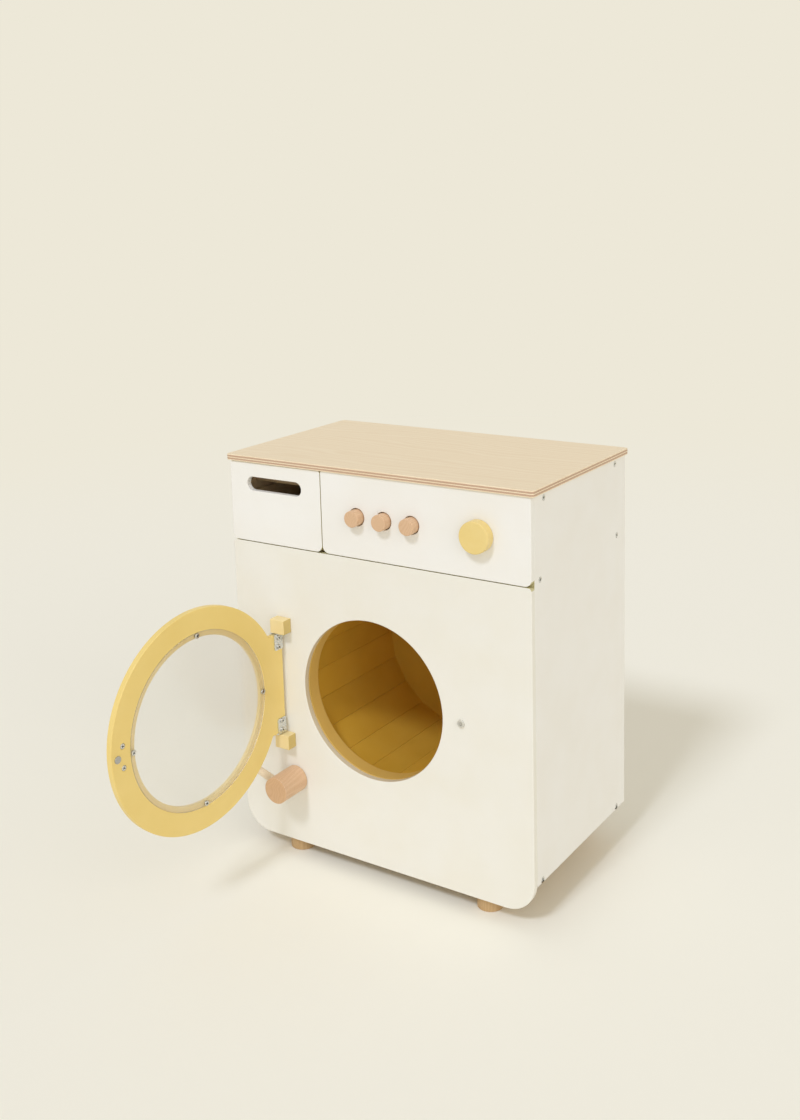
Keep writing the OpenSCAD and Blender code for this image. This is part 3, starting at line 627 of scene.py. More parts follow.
# Solid groups in a node, each as the list of its points
def islands(node):
    bm = bmesh.new()
    bm.from_mesh(cadNodes[node].data)
    bmesh.ops.remove_doubles(bm, verts=bm.verts, dist=1e-6)
    left = set(bm.verts)
    groups = []
    while left:
        start = left.pop()
        group, stack = [start.co.copy()], [start]
        while stack:
            vert = stack.pop()
            for edge in vert.link_edges:
                far = edge.other_vert(vert)
                if far in left:
                    left.remove(far)
                    group.append(far.co.copy())
                    stack.append(far)
        groups.append(group)
    bm.free()
    return sorted(groups, key=lambda g: tuple(round(c, 5) for c in sum(g, Vector()) / len(g)))


# Where a node's screws are: the middle of each head, the way it faces, and the length
def screwPlaces(node, facing=None):
    places = []
    for points in islands(node):
        low, high = pointBounds(points)
        if facing:
            way = Vector(facing).normalized()
        else:
            middle, size = (low + high) / 2, high - low
            longest = max(range(3), key=lambda i: size[i])
            way = Vector([float(i == longest) for i in range(3)])
            ends = []
            for sign in (1, -1):
                top = max(p.dot(way * sign) for p in points)
                rim = [p - middle for p in points if p.dot(way * sign) > top - 0.3 * mm]
                ends.append(max((p - way * p.dot(way)).length for p in rim))
            way = way if ends[0] > ends[1] else -way
        top = max(p.dot(way) for p in points)
        base = min(p.dot(way) for p in points)
        rim = [p for p in points if p.dot(way) > top - touch]
        middle = sum(rim, Vector()) / len(rim)
        middle += way * (top - middle.dot(way))
        places.append((middle, way, top - base))
    return places


# Top
topSet = {"cornerRadius": 4 * mm, "ease": 0.7 * mm}
low, high, middle = corners("top_panel")
outline = roundedShape(low.xy, high.xy, [topSet["cornerRadius"]] * 4)
profile = edgeProfile(high.z - low.z, topSet["ease"])
topBoard = boardPiece("topBoard", [(outline, profile)], onTop(low.z), birchTop)
settle(topBoard, "cabinet", "birch_top", "top_panel")

# Painted panels
panelSet = {
    "ease": 0.8 * mm,
    "skirtRadius": 38 * mm,
    "topRadius": 3 * mm,
    "sideRadius": 0.8 * mm,
    "rowRadius": 9 * mm,
    "lowerTopRadius": 5 * mm,
    "edgeReach": 10 * mm,
    "mouthRadius": 102 * mm,
    "buttonHoleRadius": 11 * mm,
    "slotHeight": 18 * mm,
    "slotLength": 85.5 * mm,
    "slotUp": 75.3 * mm,
    "slotLeft": 1.3 * mm,
}
headHoleSet = {"radius": 3.45 * mm, "ease": 0.25 * mm, "screws": ("cabinet_screws", "inner_screws")}
screwHeads = [place for node in headHoleSet["screws"] for place in screwPlaces(node)]


# A hole for a head that lies flush in a face
def headHole(u, v, thickness):
    return circleShape((u, v), headHoleSet["radius"], 32), edgeProfile(thickness, headHoleSet["ease"], 2)


def paintedPanel(name, node, radii, holes=(), side="front", paint=whitePaint):
    low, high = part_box(node)
    across, along = (1, 0) if side == "front" else (0, 1)
    thickness = high[across] - low[across]
    place = onFront(low.y) if side == "front" else onSide(low.x)
    profile = edgeProfile(thickness, panelSet["ease"])
    outline = roundedShape((low[along], low.z), (high[along], high.z), radii)
    shapes = [(shape, profile) for shape in (outline, *holes)]
    for spot, way, length in screwHeads:
        inside = all(low[i] - touch < spot[i] < high[i] + touch for i in range(3))
        if inside and abs(way[across]) > 0.9:
            shapes.append(headHole(spot[along], spot.z, thickness))
    return boardPiece(name, shapes, place, paint)


# Panel edges that face a gap show the bare wood
def bareEdges(panel, *ways):
    low, high = Vector(panel.bound_box[0]), Vector(panel.bound_box[6])

    def onEdge(face, way):
        i = max(range(3), key=lambda k: abs(way[k]))
        rim = (high if way[i] > 0 else low)[i]
        turned = face.normal.dot(Vector(way)) > 0.3 and abs(face.normal.y) < 0.5
        return turned and abs(face.center[i] - rim) < panelSet["edgeReach"]

    paintFaces(panel, edgeWood, lambda face: any(onEdge(face, way) for way in ways))


low, high, mouthMiddle = corners("drum_front_ring")
mouth = circleShape((mouthMiddle.x, mouthMiddle.z), panelSet["mouthRadius"], 192)
rowRadii = (panelSet["rowRadius"],) * 2 + (panelSet["topRadius"],) * 2
lowerRadii = (panelSet["skirtRadius"],) * 2 + (panelSet["lowerTopRadius"],) * 2


def onMouth(face):
    out = math.hypot(face.center.x - mouthMiddle.x, face.center.z - mouthMiddle.z)
    return abs(out - panelSet["mouthRadius"]) < 0.5 * mm and abs(face.normal.y) < 0.5


# The lower front panel carries the painted-shade copy of the white paint
lowerFront = paintedPanel("lowerFront", "lower_front_panel", lowerRadii, [mouth], paint=lowerPaint)
bareEdges(lowerFront, (0, 0, 1))
# Painted shade on the wall of the mouth's bore
paintFaces(lowerFront, borePaint, onMouth)
settle(lowerFront, "cabinet", "white_paint", "lower_front_panel")

buttonHoles = []
for side in ("left", "middle", "right"):
    middle = corners(side + "_button")[2]
    buttonHoles.append(circleShape((middle.x, middle.z), panelSet["buttonHoleRadius"], 64))
controlFront = paintedPanel("controlFront", "control_panel", rowRadii, buttonHoles)
bareEdges(controlFront, (0, 0, -1), (-1, 0, 0))
settle(controlFront, "cabinet", "white_paint", "control_panel")

low, high, middle = corners("drawer_front")
slotMiddle = Vector((middle.x - panelSet["slotLeft"], low.z + panelSet["slotUp"]))
halfSlot = Vector((panelSet["slotLength"], panelSet["slotHeight"])) / 2
slot = roundedShape(slotMiddle - halfSlot, slotMiddle + halfSlot, [halfSlot.y * 0.999] * 4, 16, hole=True)
drawerFace = paintedPanel("drawerFace", "drawer_front", rowRadii, [slot])
bareEdges(drawerFace, (0, 0, -1), (1, 0, 0))
settle(drawerFace, "drawer", "white_paint", "drawer_front")

for name, node, side, inward in (("leftSide", "left_side_panel", "side", (1, 0, 0)),
                                 ("rightSide", "right_side_panel", "side", (-1, 0, 0)),
                                 ("backBoard", "back_panel", "front", (0, -1, 0))):
    panel = paintedPanel(name, node, [panelSet["sideRadius"]] * 4, side=side)
    paintFaces(panel, bareInside, lambda face: face.normal.dot(Vector(inward)) > 0.99)
    if side == "side":
        paintFaces(panel, edgeWood, lambda face: face.normal.y < -0.9)
    settle(panel, "cabinet", "white_paint", node)
print("panels made")

# Door: drawn from the hinge pins outwards along u, with the depth running to the inner face
doorSet = {
    "open": 94,
    "thickness": 8 * mm,
    "ringRadius": 137 * mm,
    "windowRadius": 102 * mm,
    "windowPlay": 0.3 * mm,
    "windowGap": 0.03 * mm,
    "windowEase": 0.25 * mm,
    "reach": 138 * mm,
    "tabHalf": 65.5 * mm,
    "tabBack": 6 * mm,
    "rebate": (7 * mm, 3 * mm),
    "ledgeEases": (0.3 * mm, 0.2 * mm, 0.4 * mm),
    "handleScrews": (13 * mm, -13 * mm),
    "ease": 0.9 * mm,
    "pin": Vector(frame["joints"][0]["pos_m"]),
}
handleSet = {"width": 12 * mm, "length": 42 * mm, "out": 12 * mm, "reach": 119.5 * mm, "ease": 2.2 * mm,
             "backEase": 0.2 * mm, "flatRun": 0.6 * mm}


def onDoor(u, v, d):
    a = math.radians(-doorSet["open"])
    t = d - doorSet["thickness"] / 2
    pin = doorSet["pin"]
    return (pin.x + u * math.cos(a) - t * math.sin(a), pin.y + u * math.sin(a) + t * math.cos(a), pin.z + v)


toDoorInside = Vector(onDoor(0, 0, 1)) - Vector(onDoor(0, 0, 0))


def makeDoorRing():
    s = doorSet
    meet = math.degrees(math.asin(s["tabHalf"] / s["ringRadius"]))
    ring = arcPoints((s["reach"], 0), s["ringRadius"], -180 + meet, 180 - meet, 200)
    outline = [(-s["tabBack"], -s["tabHalf"])] + ring + [(-s["tabBack"], s["tabHalf"])]
    width, depth = s["rebate"]
    t, e = s["thickness"], s["ease"]
    run = faceRun(e)
    ledge = [(run, 0), (0, 0), (0, t - depth), (width, t - depth), (width, t), (width + run, t)]
    windowEdge = easeCorners(ledge, (0, e, *s["ledgeEases"], 0))
    window = circleShape((s["reach"], 0), s["windowRadius"], 192)
    loops = [(lambda inset: insetLoop(outline, inset), edgeProfile(t, e)), (window, windowEdge)]
    loops += [headHole(s["reach"] + handleSet["reach"], v, t) for v in s["handleScrews"]]
    piece = boardPiece("doorRing", loops, onDoor, yellowPaint)
    hub = Vector(onDoor(s["reach"], 0, t - depth))

    def onLedge(face):
        away = face.center - hub
        return (away - toDoorInside * away.dot(toDoorInside)).length < s["windowRadius"] + width + touch

    # The ledge under the window carries the paler yellow with its painted reflection
    paintFaces(piece, ledgePaint, onLedge)
    return piece


def makeDoorWindow():
    s = doorSet
    width, depth = s["rebate"]
    sheet = circleShape((s["reach"], 0), s["windowRadius"] + width - s["windowPlay"], 192, hole=False)
    profile = edgeProfile(depth - 2 * s["windowGap"], s["windowEase"], 2)
    start = s["thickness"] - depth + s["windowGap"]
    return boardPiece("doorWindow", [(sheet, profile)], lambda u, v, d: onDoor(u, v, d + start), clearSheet)


def makeHandle():
    s = handleSet
    middle = Vector((doorSet["reach"] + s["reach"], 0))
    half = Vector((s["width"], s["length"])) / 2
    run = s["ease"] + s["flatRun"]
    edge = [(run, 0), (0, 0), (0, s["out"]), (run, s["out"])]
    profile = easeCorners(edge, (0, s["ease"], s["backEase"], 0), 6)
    bar = roundedShape(middle - half, middle + half, [half.x * 0.999] * 4, 12)
    return boardPiece("doorHandle", [(bar, profile)], lambda u, v, d: onDoor(u, v, d - s["out"]), handleWood)


settle(makeDoorRing(), "door", "yellow_paint", "door_ring")
settle(makeDoorWindow(), "door", "clear_acrylic", "door_window")
settle(makeHandle(), "door", "beech", "door_handle")

# Hinge blocks
blockSet = {"ease": 1.0 * mm}


def makeHingeBlocks():
    bm = bmesh.new()
    for points in islands("hinge_blocks"):
        low, high = pointBounds(points)
        outline = roundedShape((low.x, low.z), (high.x, high.z), [blockSet["ease"]] * 4, 4)
        addBoard(bm, [(outline, edgeProfile(high.y - low.y, blockSet["ease"]))], onFront(low.y))
    # The blocks carry the paler, painted-light copy of the yellow paint
    blocks = finishMesh("hingeBlocks", bm, blockLitPaint)
    # Painted shade on the blocks' side faces
    paintFaces(blocks, blockSideShadedPaint, lambda face: abs(face.normal.x) > 0.75)
    return blocks


settle(makeHingeBlocks(), "cabinet", "yellow_paint", "hinge_blocks")
print("door made")

# Drum
drumSet = {"ringEase": 1.2 * mm, "staves": 20, "staveInner": 118 * mm, "staveThickness": 6 * mm,
           "staveEase": 0.35 * mm, "staveGap": 0.05 * mm, "toneSeed": 7}
low, high, middle = corners("drum_front_ring")
ringOutline = circleShape((middle.x, middle.z), (high.x - low.x) / 2, 192, hole=False)
ringProfile = edgeProfile(high.y - low.y, drumSet["ringEase"])
ringShapes = [(ringOutline, ringProfile), (mouth, ringProfile)]
# The drum's front ring carries the painted-shade copy of the yellow paint
frontRing = boardPiece("drumFrontRing", ringShapes, onFront(low.y), ringShadedPaint)
settle(frontRing, "drum", "yellow_paint", "drum_front_ring")


# Geometry Nodes helpers
def makeShapeTree(name, inputs):
    return makeTree(name, "GeometryNodeTree", {"Geometry": "Geometry", **inputs}, {"Geometry": "Geometry"})


# Real geometry with its material, at the end of every tree
def closeTree(tree, given, result, geometry):
    real = tree.add("GeometryNodeRealizeInstances", {0: geometry}).outputs[0]
    painted = tree.add("GeometryNodeSetMaterial", {"Geometry": real, "Material": given["Material"]})
    tree.feed(result, {0: painted.outputs[0]})


# Lays what was made along Z onto the depth axis
def layDown(tree, given, geometry):
    turn = (-math.pi / 2, 0, 0)
    inputs = {"Geometry": geometry, "Translation": given["Place"], "Rotation": turn}
    return tree.add("GeometryNodeTransform", inputs).outputs[0]


def sweepProfile(tree, path, profile):
    inputs = {"Curve": path.outputs[0], "Profile Curve": profile.outputs[0], "Fill Caps": True}
    return tree.add("GeometryNodeCurveToMesh", inputs).outputs[0]


def runTree(name, tree, keys, values, mesh=None):
    source = bpy.data.objects.new(name + "Source", mesh or bpy.data.meshes.new(name + "Source"))
    scene.collection.objects.link(source)
    modifier = source.modifiers.new("nodes", "NODES")
    modifier.node_group = tree.data
    for label, value in values.items():
        modifier[keys[label]] = value
    bpy.context.view_layer.update()
    graph = bpy.context.evaluated_depsgraph_get()
    made = bpy.data.meshes.new_from_object(source.evaluated_get(graph), depsgraph=graph)
    source.modifiers.remove(modifier)
    bpy.data.objects.remove(source)
    made.name = name
    piece = bpy.data.objects.new(name, made)
    scene.collection.objects.link(piece)
    return piece


def makeStaveTree():
    tree, given, result, keys = makeShapeTree("staveRing", {
        "Count": 20, "Inner Radius": 0.116, "Thickness": 0.006, "Width": 0.036, "Length": 0.19,
        "Edge": 0.0007, "Place": "Vector", "Seed": 1, "Material": "Material"})
    count = given["Count"]
    sides = {"Width": given["Thickness"], "Height": given["Width"]}
    box = tree.add("GeometryNodeCurvePrimitiveQuadrilateral", sides, mode="RECTANGLE")
    eased = {"Curve": box.outputs[0], "Radius": given["Edge"], "Count": 4, "Limit Radius": True}
    fillet = tree.add("GeometryNodeFilletCurve", eased, mode="POLY")
    line = tree.add("GeometryNodeCurvePrimitiveLine", {"End": tree.alongZ(given["Length"])})
    out = tree.math("MULTIPLY_ADD", given["Thickness"], 0.5, given["Inner Radius"])
    circle = tree.add("GeometryNodeMeshCircle", {"Vertices": count, "Radius": out})
    index = tree.add("GeometryNodeInputIndex").outputs[0]
    angle = tree.math("DIVIDE", tree.times(index, 2 * math.pi), count)
    spread = tree.add("GeometryNodeInstanceOnPoints", {
        "Points": circle.outputs[0], "Instance": sweepProfile(tree, line, fillet),
        "Rotation": tree.alongZ(angle)})
    tone = tree.add("FunctionNodeRandomValue", {"Seed": given["Seed"]}, data_type="FLOAT")
    kept = {"Geometry": spread.outputs[0], "Name": "staveTone", "Value": tone.outputs[1]}
    store = tree.add("GeometryNodeStoreNamedAttribute", kept, data_type="FLOAT", domain="INSTANCE")
    halfStep = tree.alongZ(tree.math("DIVIDE", math.pi, count))
    half = tree.add("GeometryNodeTransform", {"Geometry": store.outputs[0], "Rotation": halfStep})
    closeTree(tree, given, result, layDown(tree, given, half.outputs[0]))
    return tree, keys


def makeStaves():
    s = drumSet
    low, high, middle = corners("drum_staves")
    inner = s["staveInner"] * math.cos(math.pi / s["staves"])
    width = 2 * inner * math.tan(math.pi / s["staves"]) - s["staveGap"]
    return runTree("drumStaves", *makeStaveTree(), {
        "Count": s["staves"], "Inner Radius": inner, "Thickness": s["staveThickness"], "Width": width,
        "Length": high.y - low.y, "Edge": s["staveEase"], "Place": (middle.x, low.y, middle.z),
        "Seed": s["toneSeed"], "Material": drumPaint})


settle(makeStaves(), "drum", "ochre_paint", "drum_staves")
print("drum made")


# Profile of a disc or pin with its front and back rims eased
def discProfile(radius, depth, ease, backEase=0, steps=4):
    return easeCorners([(0, 0), (radius, 0), (radius, depth), (0, depth)], (0, ease, backEase, 0), steps)


# A disc that faces the front, as deep as its node and, with no radius given, as wide
def frontDisc(name, node, ease, backEase, material, segments, steps=4, radius=None):
    low, high, middle = corners(node)
    profile = discProfile(radius or (high.x - low.x) / 2, high.y - low.y, ease, backEase, steps)
    return turnedPiece(name, profile, (middle.x, low.y, middle.z), (0, 1, 0), material, segments)


# Crank
crankSet = {"hubRadius": 17 * mm, "hubEase": 0.7 * mm, "leverRadius": 5 * mm, "leverTilt": 18,
            "leverOut": 28.5 * mm, "leverStart": 4.3 * mm, "leverReach": 58 * mm}
ease = crankSet["hubEase"]
crankHub = frontDisc("crankHub", "crank_hub", ease, ease, beechWood, 128, radius=crankSet["hubRadius"])
paintFaces(crankHub, beechEnd, lambda face: face.normal.y < -0.9)
settle(crankHub, "crank", "beech", "crank_hub")


def makeLever():
    s = crankSet
    tilt = math.radians(s["leverTilt"])
    way = Vector((-math.cos(tilt), 0, math.sin(tilt)))
    middle = corners("crank_hub")[2]
    r, start = s["leverRadius"], s["leverStart"]
    run = s["leverReach"] - start
    tip = [(r * math.cos(a), run - r + r * math.sin(a)) for a in (math.radians(9 * k) for k in range(11))]
    profile = [(0, 0), (r * 0.9, 0), (r, r * 0.1)] + tip[:-1] + [(0, run)]
    root = Vector((middle.x, doorway[0].y - s["leverOut"], middle.z))
    return turnedPiece("crankLever", profile, root + way * start, way, dowelWood, 48)


settle(makeLever(), "crank", "birch_dowel", "crank_lever")

# Push buttons
buttonSet = {"radius": 10 * mm, "ease": 0.9 * mm, "collar": 3 * mm, "collarEase": 0.4 * mm,
             "spigotRadius": 2.5 * mm, "spigot": 5 * mm, "spigotEase": 0.3 * mm}


def makeButton(name, node):
    s = buttonSet
    low, high, middle = corners(node)
    outer, collar, spigot = s["radius"], (high.x - low.x) / 2, s["spigotRadius"]
    whole = high.y - low.y
    back = whole - s["spigot"]
    step = back - s["collar"]
    points = [(0, 0), (outer, 0), (outer, step), (collar, step), (collar, back), (spigot, back),
              (spigot, whole), (0, whole)]
    profile = easeCorners(points, (0, s["ease"], 0, s["collarEase"], s["collarEase"], 0, s["spigotEase"], 0))
    return turnedPiece(name, profile, (middle.x, low.y, middle.z), (0, 1, 0), beechWood, 80)


for side in ("left", "middle", "right"):
    piece = makeButton(side + "ButtonTurned", side + "_button")
    settle(piece, "button_" + side, "beech", side + "_button")

# Dial
dialSet = {"ease": 1.3 * mm, "backEase": 0.5 * mm}
dial = frontDisc("dialTurned", "dial_knob", dialSet["ease"], dialSet["backEase"], dialPaint, 128, steps=6)
settle(dial, "dial", "knob_yellow", "dial_knob")

# Feet
footSet = {"radius": 16 * mm, "ease": 1.0 * mm}


def makeFeet():
    s = footSet
    bm = bmesh.new()
    for points in islands("feet"):
        low, high = pointBounds(points)
        middle = (low + high) / 2
        profile = discProfile(s["radius"], high.z - low.z, s["ease"], s["ease"])
        addTurned(bm, profile, (middle.x, middle.y, low.z), (0, 0, 1), 72)
    return finishMesh("feetTurned", bm, footWood)


settle(makeFeet(), "cabinet", "beech", "feet")

# Latch disc and door magnet
discSet = {"ease": 0.35 * mm}
latch = frontDisc("latchDisc", "latch_plate", discSet["ease"], 0, latchSteel, 48)
settle(latch, "cabinet", "latch_steel", "latch_plate")

magnetSet = {"radius": 4.5 * mm, "reach": 128 * mm, "out": 1 * mm, "depth": 3 * mm}
centre = onDoor(doorSet["reach"] + magnetSet["reach"], 0, doorSet["thickness"] + magnetSet["out"])
profile = discProfile(magnetSet["radius"], magnetSet["depth"], discSet["ease"])
magnet = turnedPiece("doorMagnetDisc", profile, centre, -toDoorInside, nickel, 48)
settle(magnet, "door", "magnet_nickel", "door_magnet")
print("turned pieces made")

# Screws: one head with a cross recess, set on every screw's place
screwSet = {"headRadius": 3.25 * mm, "headDepth": 1.6 * mm, "crossLength": 3.9 * mm, "crossWidth": 0.95 * mm,
            "recess": 0.95 * mm, "crossTaper": 0.16 * mm, "crossEdge": (0.02 * mm, 0.10 * mm),
            "darkBelow": 0.15 * mm, "domeRun": 1.3 * mm, "domeRise": 0.25 * mm, "domeEase": 0.5 * mm,
            "shankRadius": 1.5 * mm, "shankTaper": 0.6, "shankStart": 0.85, "turnSeed": 3}


def makeScrewHead():
    s = screwSet
    bm = bmesh.new()
    shaded = bm.faces.layers.float.new("recess")
    a, b = s["crossLength"] / 2, s["crossWidth"] / 2
    cross = [(a, -b), (a, b), (b, b), (b, a), (-b, a), (-b, b)]
    cross += [(-u, -v) for u, v in cross]
    rim = circleShape((0, 0), s["headRadius"], 40, hole=False)(0)
    shell = easeCorners([(s["domeRun"], 0), (0, s["domeRise"]), (0, s["headDepth"])], (0, s["domeEase"], 0))
    wall = [(s["crossTaper"], 0), s["crossEdge"], (-s["crossTaper"], s["recess"])]
    tops, bottoms = [], []
    # Painted shade: wall faces deeper than darkBelow are stored as shaded, more in the cross recess than
    # round the rim, and the bottom faces most
    for outline, profile, depthOfShade in ((rim, shell, 0.40), (cross[::-1], wall, 0.85)):
        rings = makeRings(bm, lambda inset: insetLoop(outline, inset), profile, lambda u, v, d: (u, v, -d))
        for face in addWall(bm, rings):
            deep = min(v.co.z for v in face.verts) < -s["darkBelow"]
            face[shaded] = depthOfShade if deep else 0.0
        tops += ringEdges(bm, rings[0])
        bottoms.append(ringEdges(bm, rings[-1]))
    for cap in (tops, *bottoms):
        made = bmesh.ops.triangle_fill(bm, use_beauty=True, edges=cap)
        for face in made["geom"]:
            if isinstance(face, bmesh.types.BMFace):
                face[shaded] = 0.0 if cap is tops else 0.9
    return finishMesh("screwHead", bm, zinc, 30)


def makeScrewTree():
    tree, given, result, keys = makeShapeTree("screwSet", {
        "Head": "Object", "Shank Radius": 0.0015, "Shank Length": 0.02, "Head Depth": 0.0016, "Seed": 1,
        "Material": "Material"})
    head = tree.add("GeometryNodeObjectInfo", {"Object": given["Head"]})
    shank = tree.add("GeometryNodeMeshCone", {
        "Vertices": 12, "Radius Bottom": given["Shank Radius"], "Depth": given["Shank Length"],
        "Radius Top": tree.times(given["Shank Radius"], screwSet["shankTaper"])}, fill_type="NGON")
    drop = tree.times(given["Head Depth"], -screwSet["shankStart"])
    down = tree.add("GeometryNodeTransform", {
        "Geometry": shank.outputs[0], "Translation": tree.alongZ(drop), "Rotation": (math.pi, 0, 0)})
    join = tree.add("GeometryNodeJoinGeometry", {0: head.outputs["Geometry"]})
    tree.feed(join, {0: down.outputs[0]})
    points = tree.add("GeometryNodeMeshToPoints", {0: given["Geometry"]})
    facing = tree.add("GeometryNodeInputNamedAttribute", {"Name": "facing"}, data_type="FLOAT_VECTOR")
    align = tree.add("FunctionNodeAlignRotationToVector", {"Vector": facing.outputs[0]}, axis="Z")
    limits = {"Max": 2 * math.pi, "Seed": given["Seed"]}
    chance = tree.add("FunctionNodeRandomValue", limits, data_type="FLOAT")
    twist = tree.alongZ(chance.outputs[1])
    turn = tree.add("FunctionNodeEulerToRotation", {0: twist}).outputs[0]
    both = tree.add("FunctionNodeRotateRotation", {0: align.outputs[0], 1: turn}, rotation_space="LOCAL")
    spread = tree.add("GeometryNodeInstanceOnPoints", {
        "Points": points.outputs[0], "Instance": join.outputs[0], "Rotation": both.outputs[0]})
    closeTree(tree, given, result, spread.outputs[0])
    return tree, keys


screwHead = makeScrewHead()
screwTree, screwKeys = makeScrewTree()


def makeScrews(name, node, body, facing=None):
    s = screwSet
    places = screwPlaces(node, facing)
    mesh = bpy.data.meshes.new(name + "Places")
    mesh.from_pydata([tuple(p) for p, way, length in places], [], [])
    stored = mesh.attributes.new("facing", "FLOAT_VECTOR", "POINT")
    for i, (p, way, length) in enumerate(places):
        stored.data[i].vector = way
    shank = places[0][2] - s["headDepth"] * s["shankStart"]
    piece = runTree(name, screwTree, screwKeys, {
        "Head": screwHead, "Shank Radius": s["shankRadius"], "Shank Length": shank,
        "Head Depth": s["headDepth"], "Seed": s["turnSeed"], "Material": zinc}, mesh)
    return settle(piece, body, "screw_zinc", node)


makeScrews("cabinetScrews", "cabinet_screws", "cabinet")
makeScrews("innerScrews", "inner_screws", "cabinet")
makeScrews("railScrews", "rail_screws", "cabinet")
makeScrews("latchScrew", "latch_screw", "cabinet", (0, -1, 0))
makeScrews("axleScrews", "axle_screws", "drum", (0, 1, 0))
makeScrews("drawerScrews", "drawer_screws", "drawer")
makeScrews("dialScrew", "dial_screw", "dial")
makeScrews("windowScrews", "window_screws", "door", toDoorInside)
makeScrews("handleScrews", "handle_screws", "door", toDoorInside)
makeScrews("hingeScrews", "hinge_screws", "door", toDoorInside)
bpy.data.objects.remove(screwHead)
print("screws made")

# Coil springs behind the buttons
springSet = {"wire": 0.8 * mm, "turns": 6.5, "sides": 8, "stepsPerTurn": 24, "travel": 7 * mm}


def makeSpringTree():
    tree, given, result, keys = makeShapeTree("coilSpring", {
        "Turns": 6.0, "Coil Radius": 0.0035, "Wire Radius": 0.0004, "Length": 0.018, "Place": "Vector",
        "Steps": 24, "Material": "Material"})
    coil = tree.add("GeometryNodeCurveSpiral", {
        "Resolution": given["Steps"], "Rotations": given["Turns"], "Start Radius": given["Coil Radius"],
        "End Radius": given["Coil Radius"], "Height": given["Length"]})
    section = {"Resolution": springSet["sides"], "Radius": given["Wire Radius"]}
    wire = tree.add("GeometryNodeCurvePrimitiveCircle", section, mode="RADIUS")
    closeTree(tree, given, result, layDown(tree, given, sweepProfile(tree, coil, wire)))
    return tree, keys


springTree, springKeys = makeSpringTree()
for side in ("left", "middle", "right"):
    low, high, middle = corners(side + "_spring")
    s = springSet
    length, wire = high.y - low.y, s["wire"] / 2
    piece = runTree(side + "CoilSpring", springTree, springKeys, {
        "Turns": s["turns"], "Coil Radius": (high.x - low.x) / 2 - wire, "Wire Radius": wire,
        "Length": length - s["wire"], "Place": (middle.x, low.y + wire, middle.z),
        "Steps": s["stepsPerTurn"], "Material": groundSteel})
    settle(piece, "cabinet", "spring_steel", side + "_spring")
    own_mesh(piece)
print("springs made")

# CAD pieces that keep their shape and get their finish here, plywood with its layers' axis and its grain's
woodLight, woodDark, woodGlue = (234, 212, 174), (216, 188, 144), (140, 98, 66)
plyBoards = {
    "bottom_board": "zx", "shelf_board": "zx", "top_rails": "zx", "drawer_partition": "xy",
    "drawer_stop": "yx", "bearing_block": "yx", "wheel_brackets": "yz", "drawer_inner_front": "yx",
    "drawer_back": "yx", "drawer_bottom": "zy", "drive_wheel": "yx", "idler_wheel": "yx", "button_rail": "yx",
}
otherFinishes = {
    "drawer_sides": woodFinish("drawerSideWood", woodLight, woodDark, (0, 1, 0), ring=8.0),
    "battens": plainWood, "drum_back": drumPaint, "drum_axle": groundSteel, "crank_shaft": groundSteel,
    "idler_axle": groundSteel, "drum_bush": brass, "drive_tyre": tyreRubber, "idler_tyre": tyreRubber,
    "hinge_brackets": zincSheet, "dial_axle": beechWood, "dial_washer": railWood,
}
for node, (across, grain) in plyBoards.items():
    otherFinishes[node] = plyFinish(node + "Ply", node, woodLight, woodDark, woodGlue, across, grain)
for node, material in otherFinishes.items():
    mesh = cadNodes[node].data
    mesh.materials.clear()
    mesh.materials.append(material)
print("other finishes set")

# Floor, light and background
studioSet = {
    "floorSize": 60.0,
    "floor": shade(249, 246, 234),
    "background": shade(237, 232, 216),
    "fadeFrom": 1.3,
    "fadeTo": 3.2,
    "skyLight": (1.0, 0.95, 0.85, 1.0),
    "skyStrength": 0.57,
    "key": {"power": 1.04, "colour": (0.92, 1.0, 1.17), "angle": 11, "place": Vector((0.0, -0.75, 0.82))},
    "side": {"power": 0.78, "colour": (1.0, 1.0, 1.0), "angle": 55, "place": Vector((0.8, -0.52, 0.40))},
}


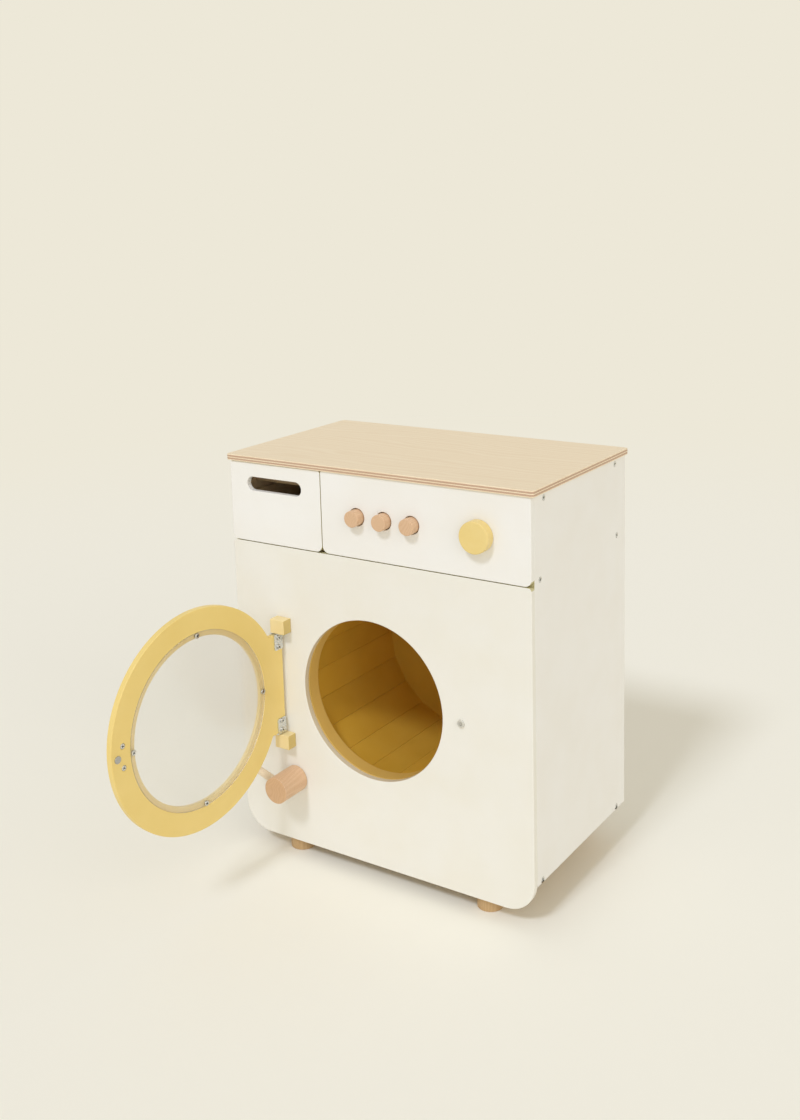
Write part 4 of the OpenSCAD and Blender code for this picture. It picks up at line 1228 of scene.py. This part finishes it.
# One for rays that show the background itself, in the picture, in a mirror or through the window
def showingRay(tree):
    rays = tree.add("ShaderNodeLightPath").outputs
    other = tree.math("MAXIMUM", rays["Is Glossy Ray"], rays["Is Transmission Ray"])
    return tree.math("MAXIMUM", rays["Is Camera Ray"], other)


def makeFloor():
    s = studioSet
    half = s["floorSize"] / 2
    ends = ((-half, -half, 0), (half, -half, 0), (half, half, 0), (-half, half, 0))
    mesh = bpy.data.meshes.new("studioFloor")
    mesh.from_pydata(ends, [], [(0, 1, 2, 3)])
    floor = bpy.data.objects.new("studioFloor", mesh)
    scene.collection.objects.link(floor)
    material, tree, surface, where = startMaterial("floorPaper")
    tree.feed(surface, {"Base Color": s["floor"], "Roughness": 0.9, "Specular IOR Level": 0.1})
    distance = tree.add("ShaderNodeVectorMath", {0: where}, operation="LENGTH").outputs["Value"]
    limits = {"Value": distance, "From Min": s["fadeFrom"], "From Max": s["fadeTo"]}
    fade = tree.add("ShaderNodeMapRange", limits, interpolation_type="SMOOTHSTEP").outputs[0]
    glow = tree.add("ShaderNodeEmission", {"Color": s["background"]})
    tree.mixShaders(tree.times(fade, showingRay(tree)), surface, glow)
    mesh.materials.append(material)


def makeWorld():
    s = studioSet
    world = bpy.data.worlds.new("studioWorld")
    scene.world = world
    world.use_nodes = True
    tree = Tree(world.node_tree)
    light = tree.data.nodes["Background"]
    tree.feed(light, {"Color": s["skyLight"], "Strength": s["skyStrength"]})
    seen = tree.add("ShaderNodeBackground", {"Color": s["background"]})
    tree.mixShaders(showingRay(tree), light, seen, "World Output")


def makeLamp(name):
    s = studioSet[name]
    data = bpy.data.lights.new(name + "Light", "SUN")
    data.energy = s["power"]
    data.color = s["colour"]
    data.angle = math.radians(s["angle"])
    lamp = bpy.data.objects.new(name + "Light", data)
    lamp.rotation_euler = s["place"].to_track_quat("Z", "Y").to_euler()
    scene.collection.objects.link(lamp)


makeFloor()
makeWorld()
makeLamp("key")
makeLamp("side")
scene.view_settings.view_transform = "Standard"
print("studio made")
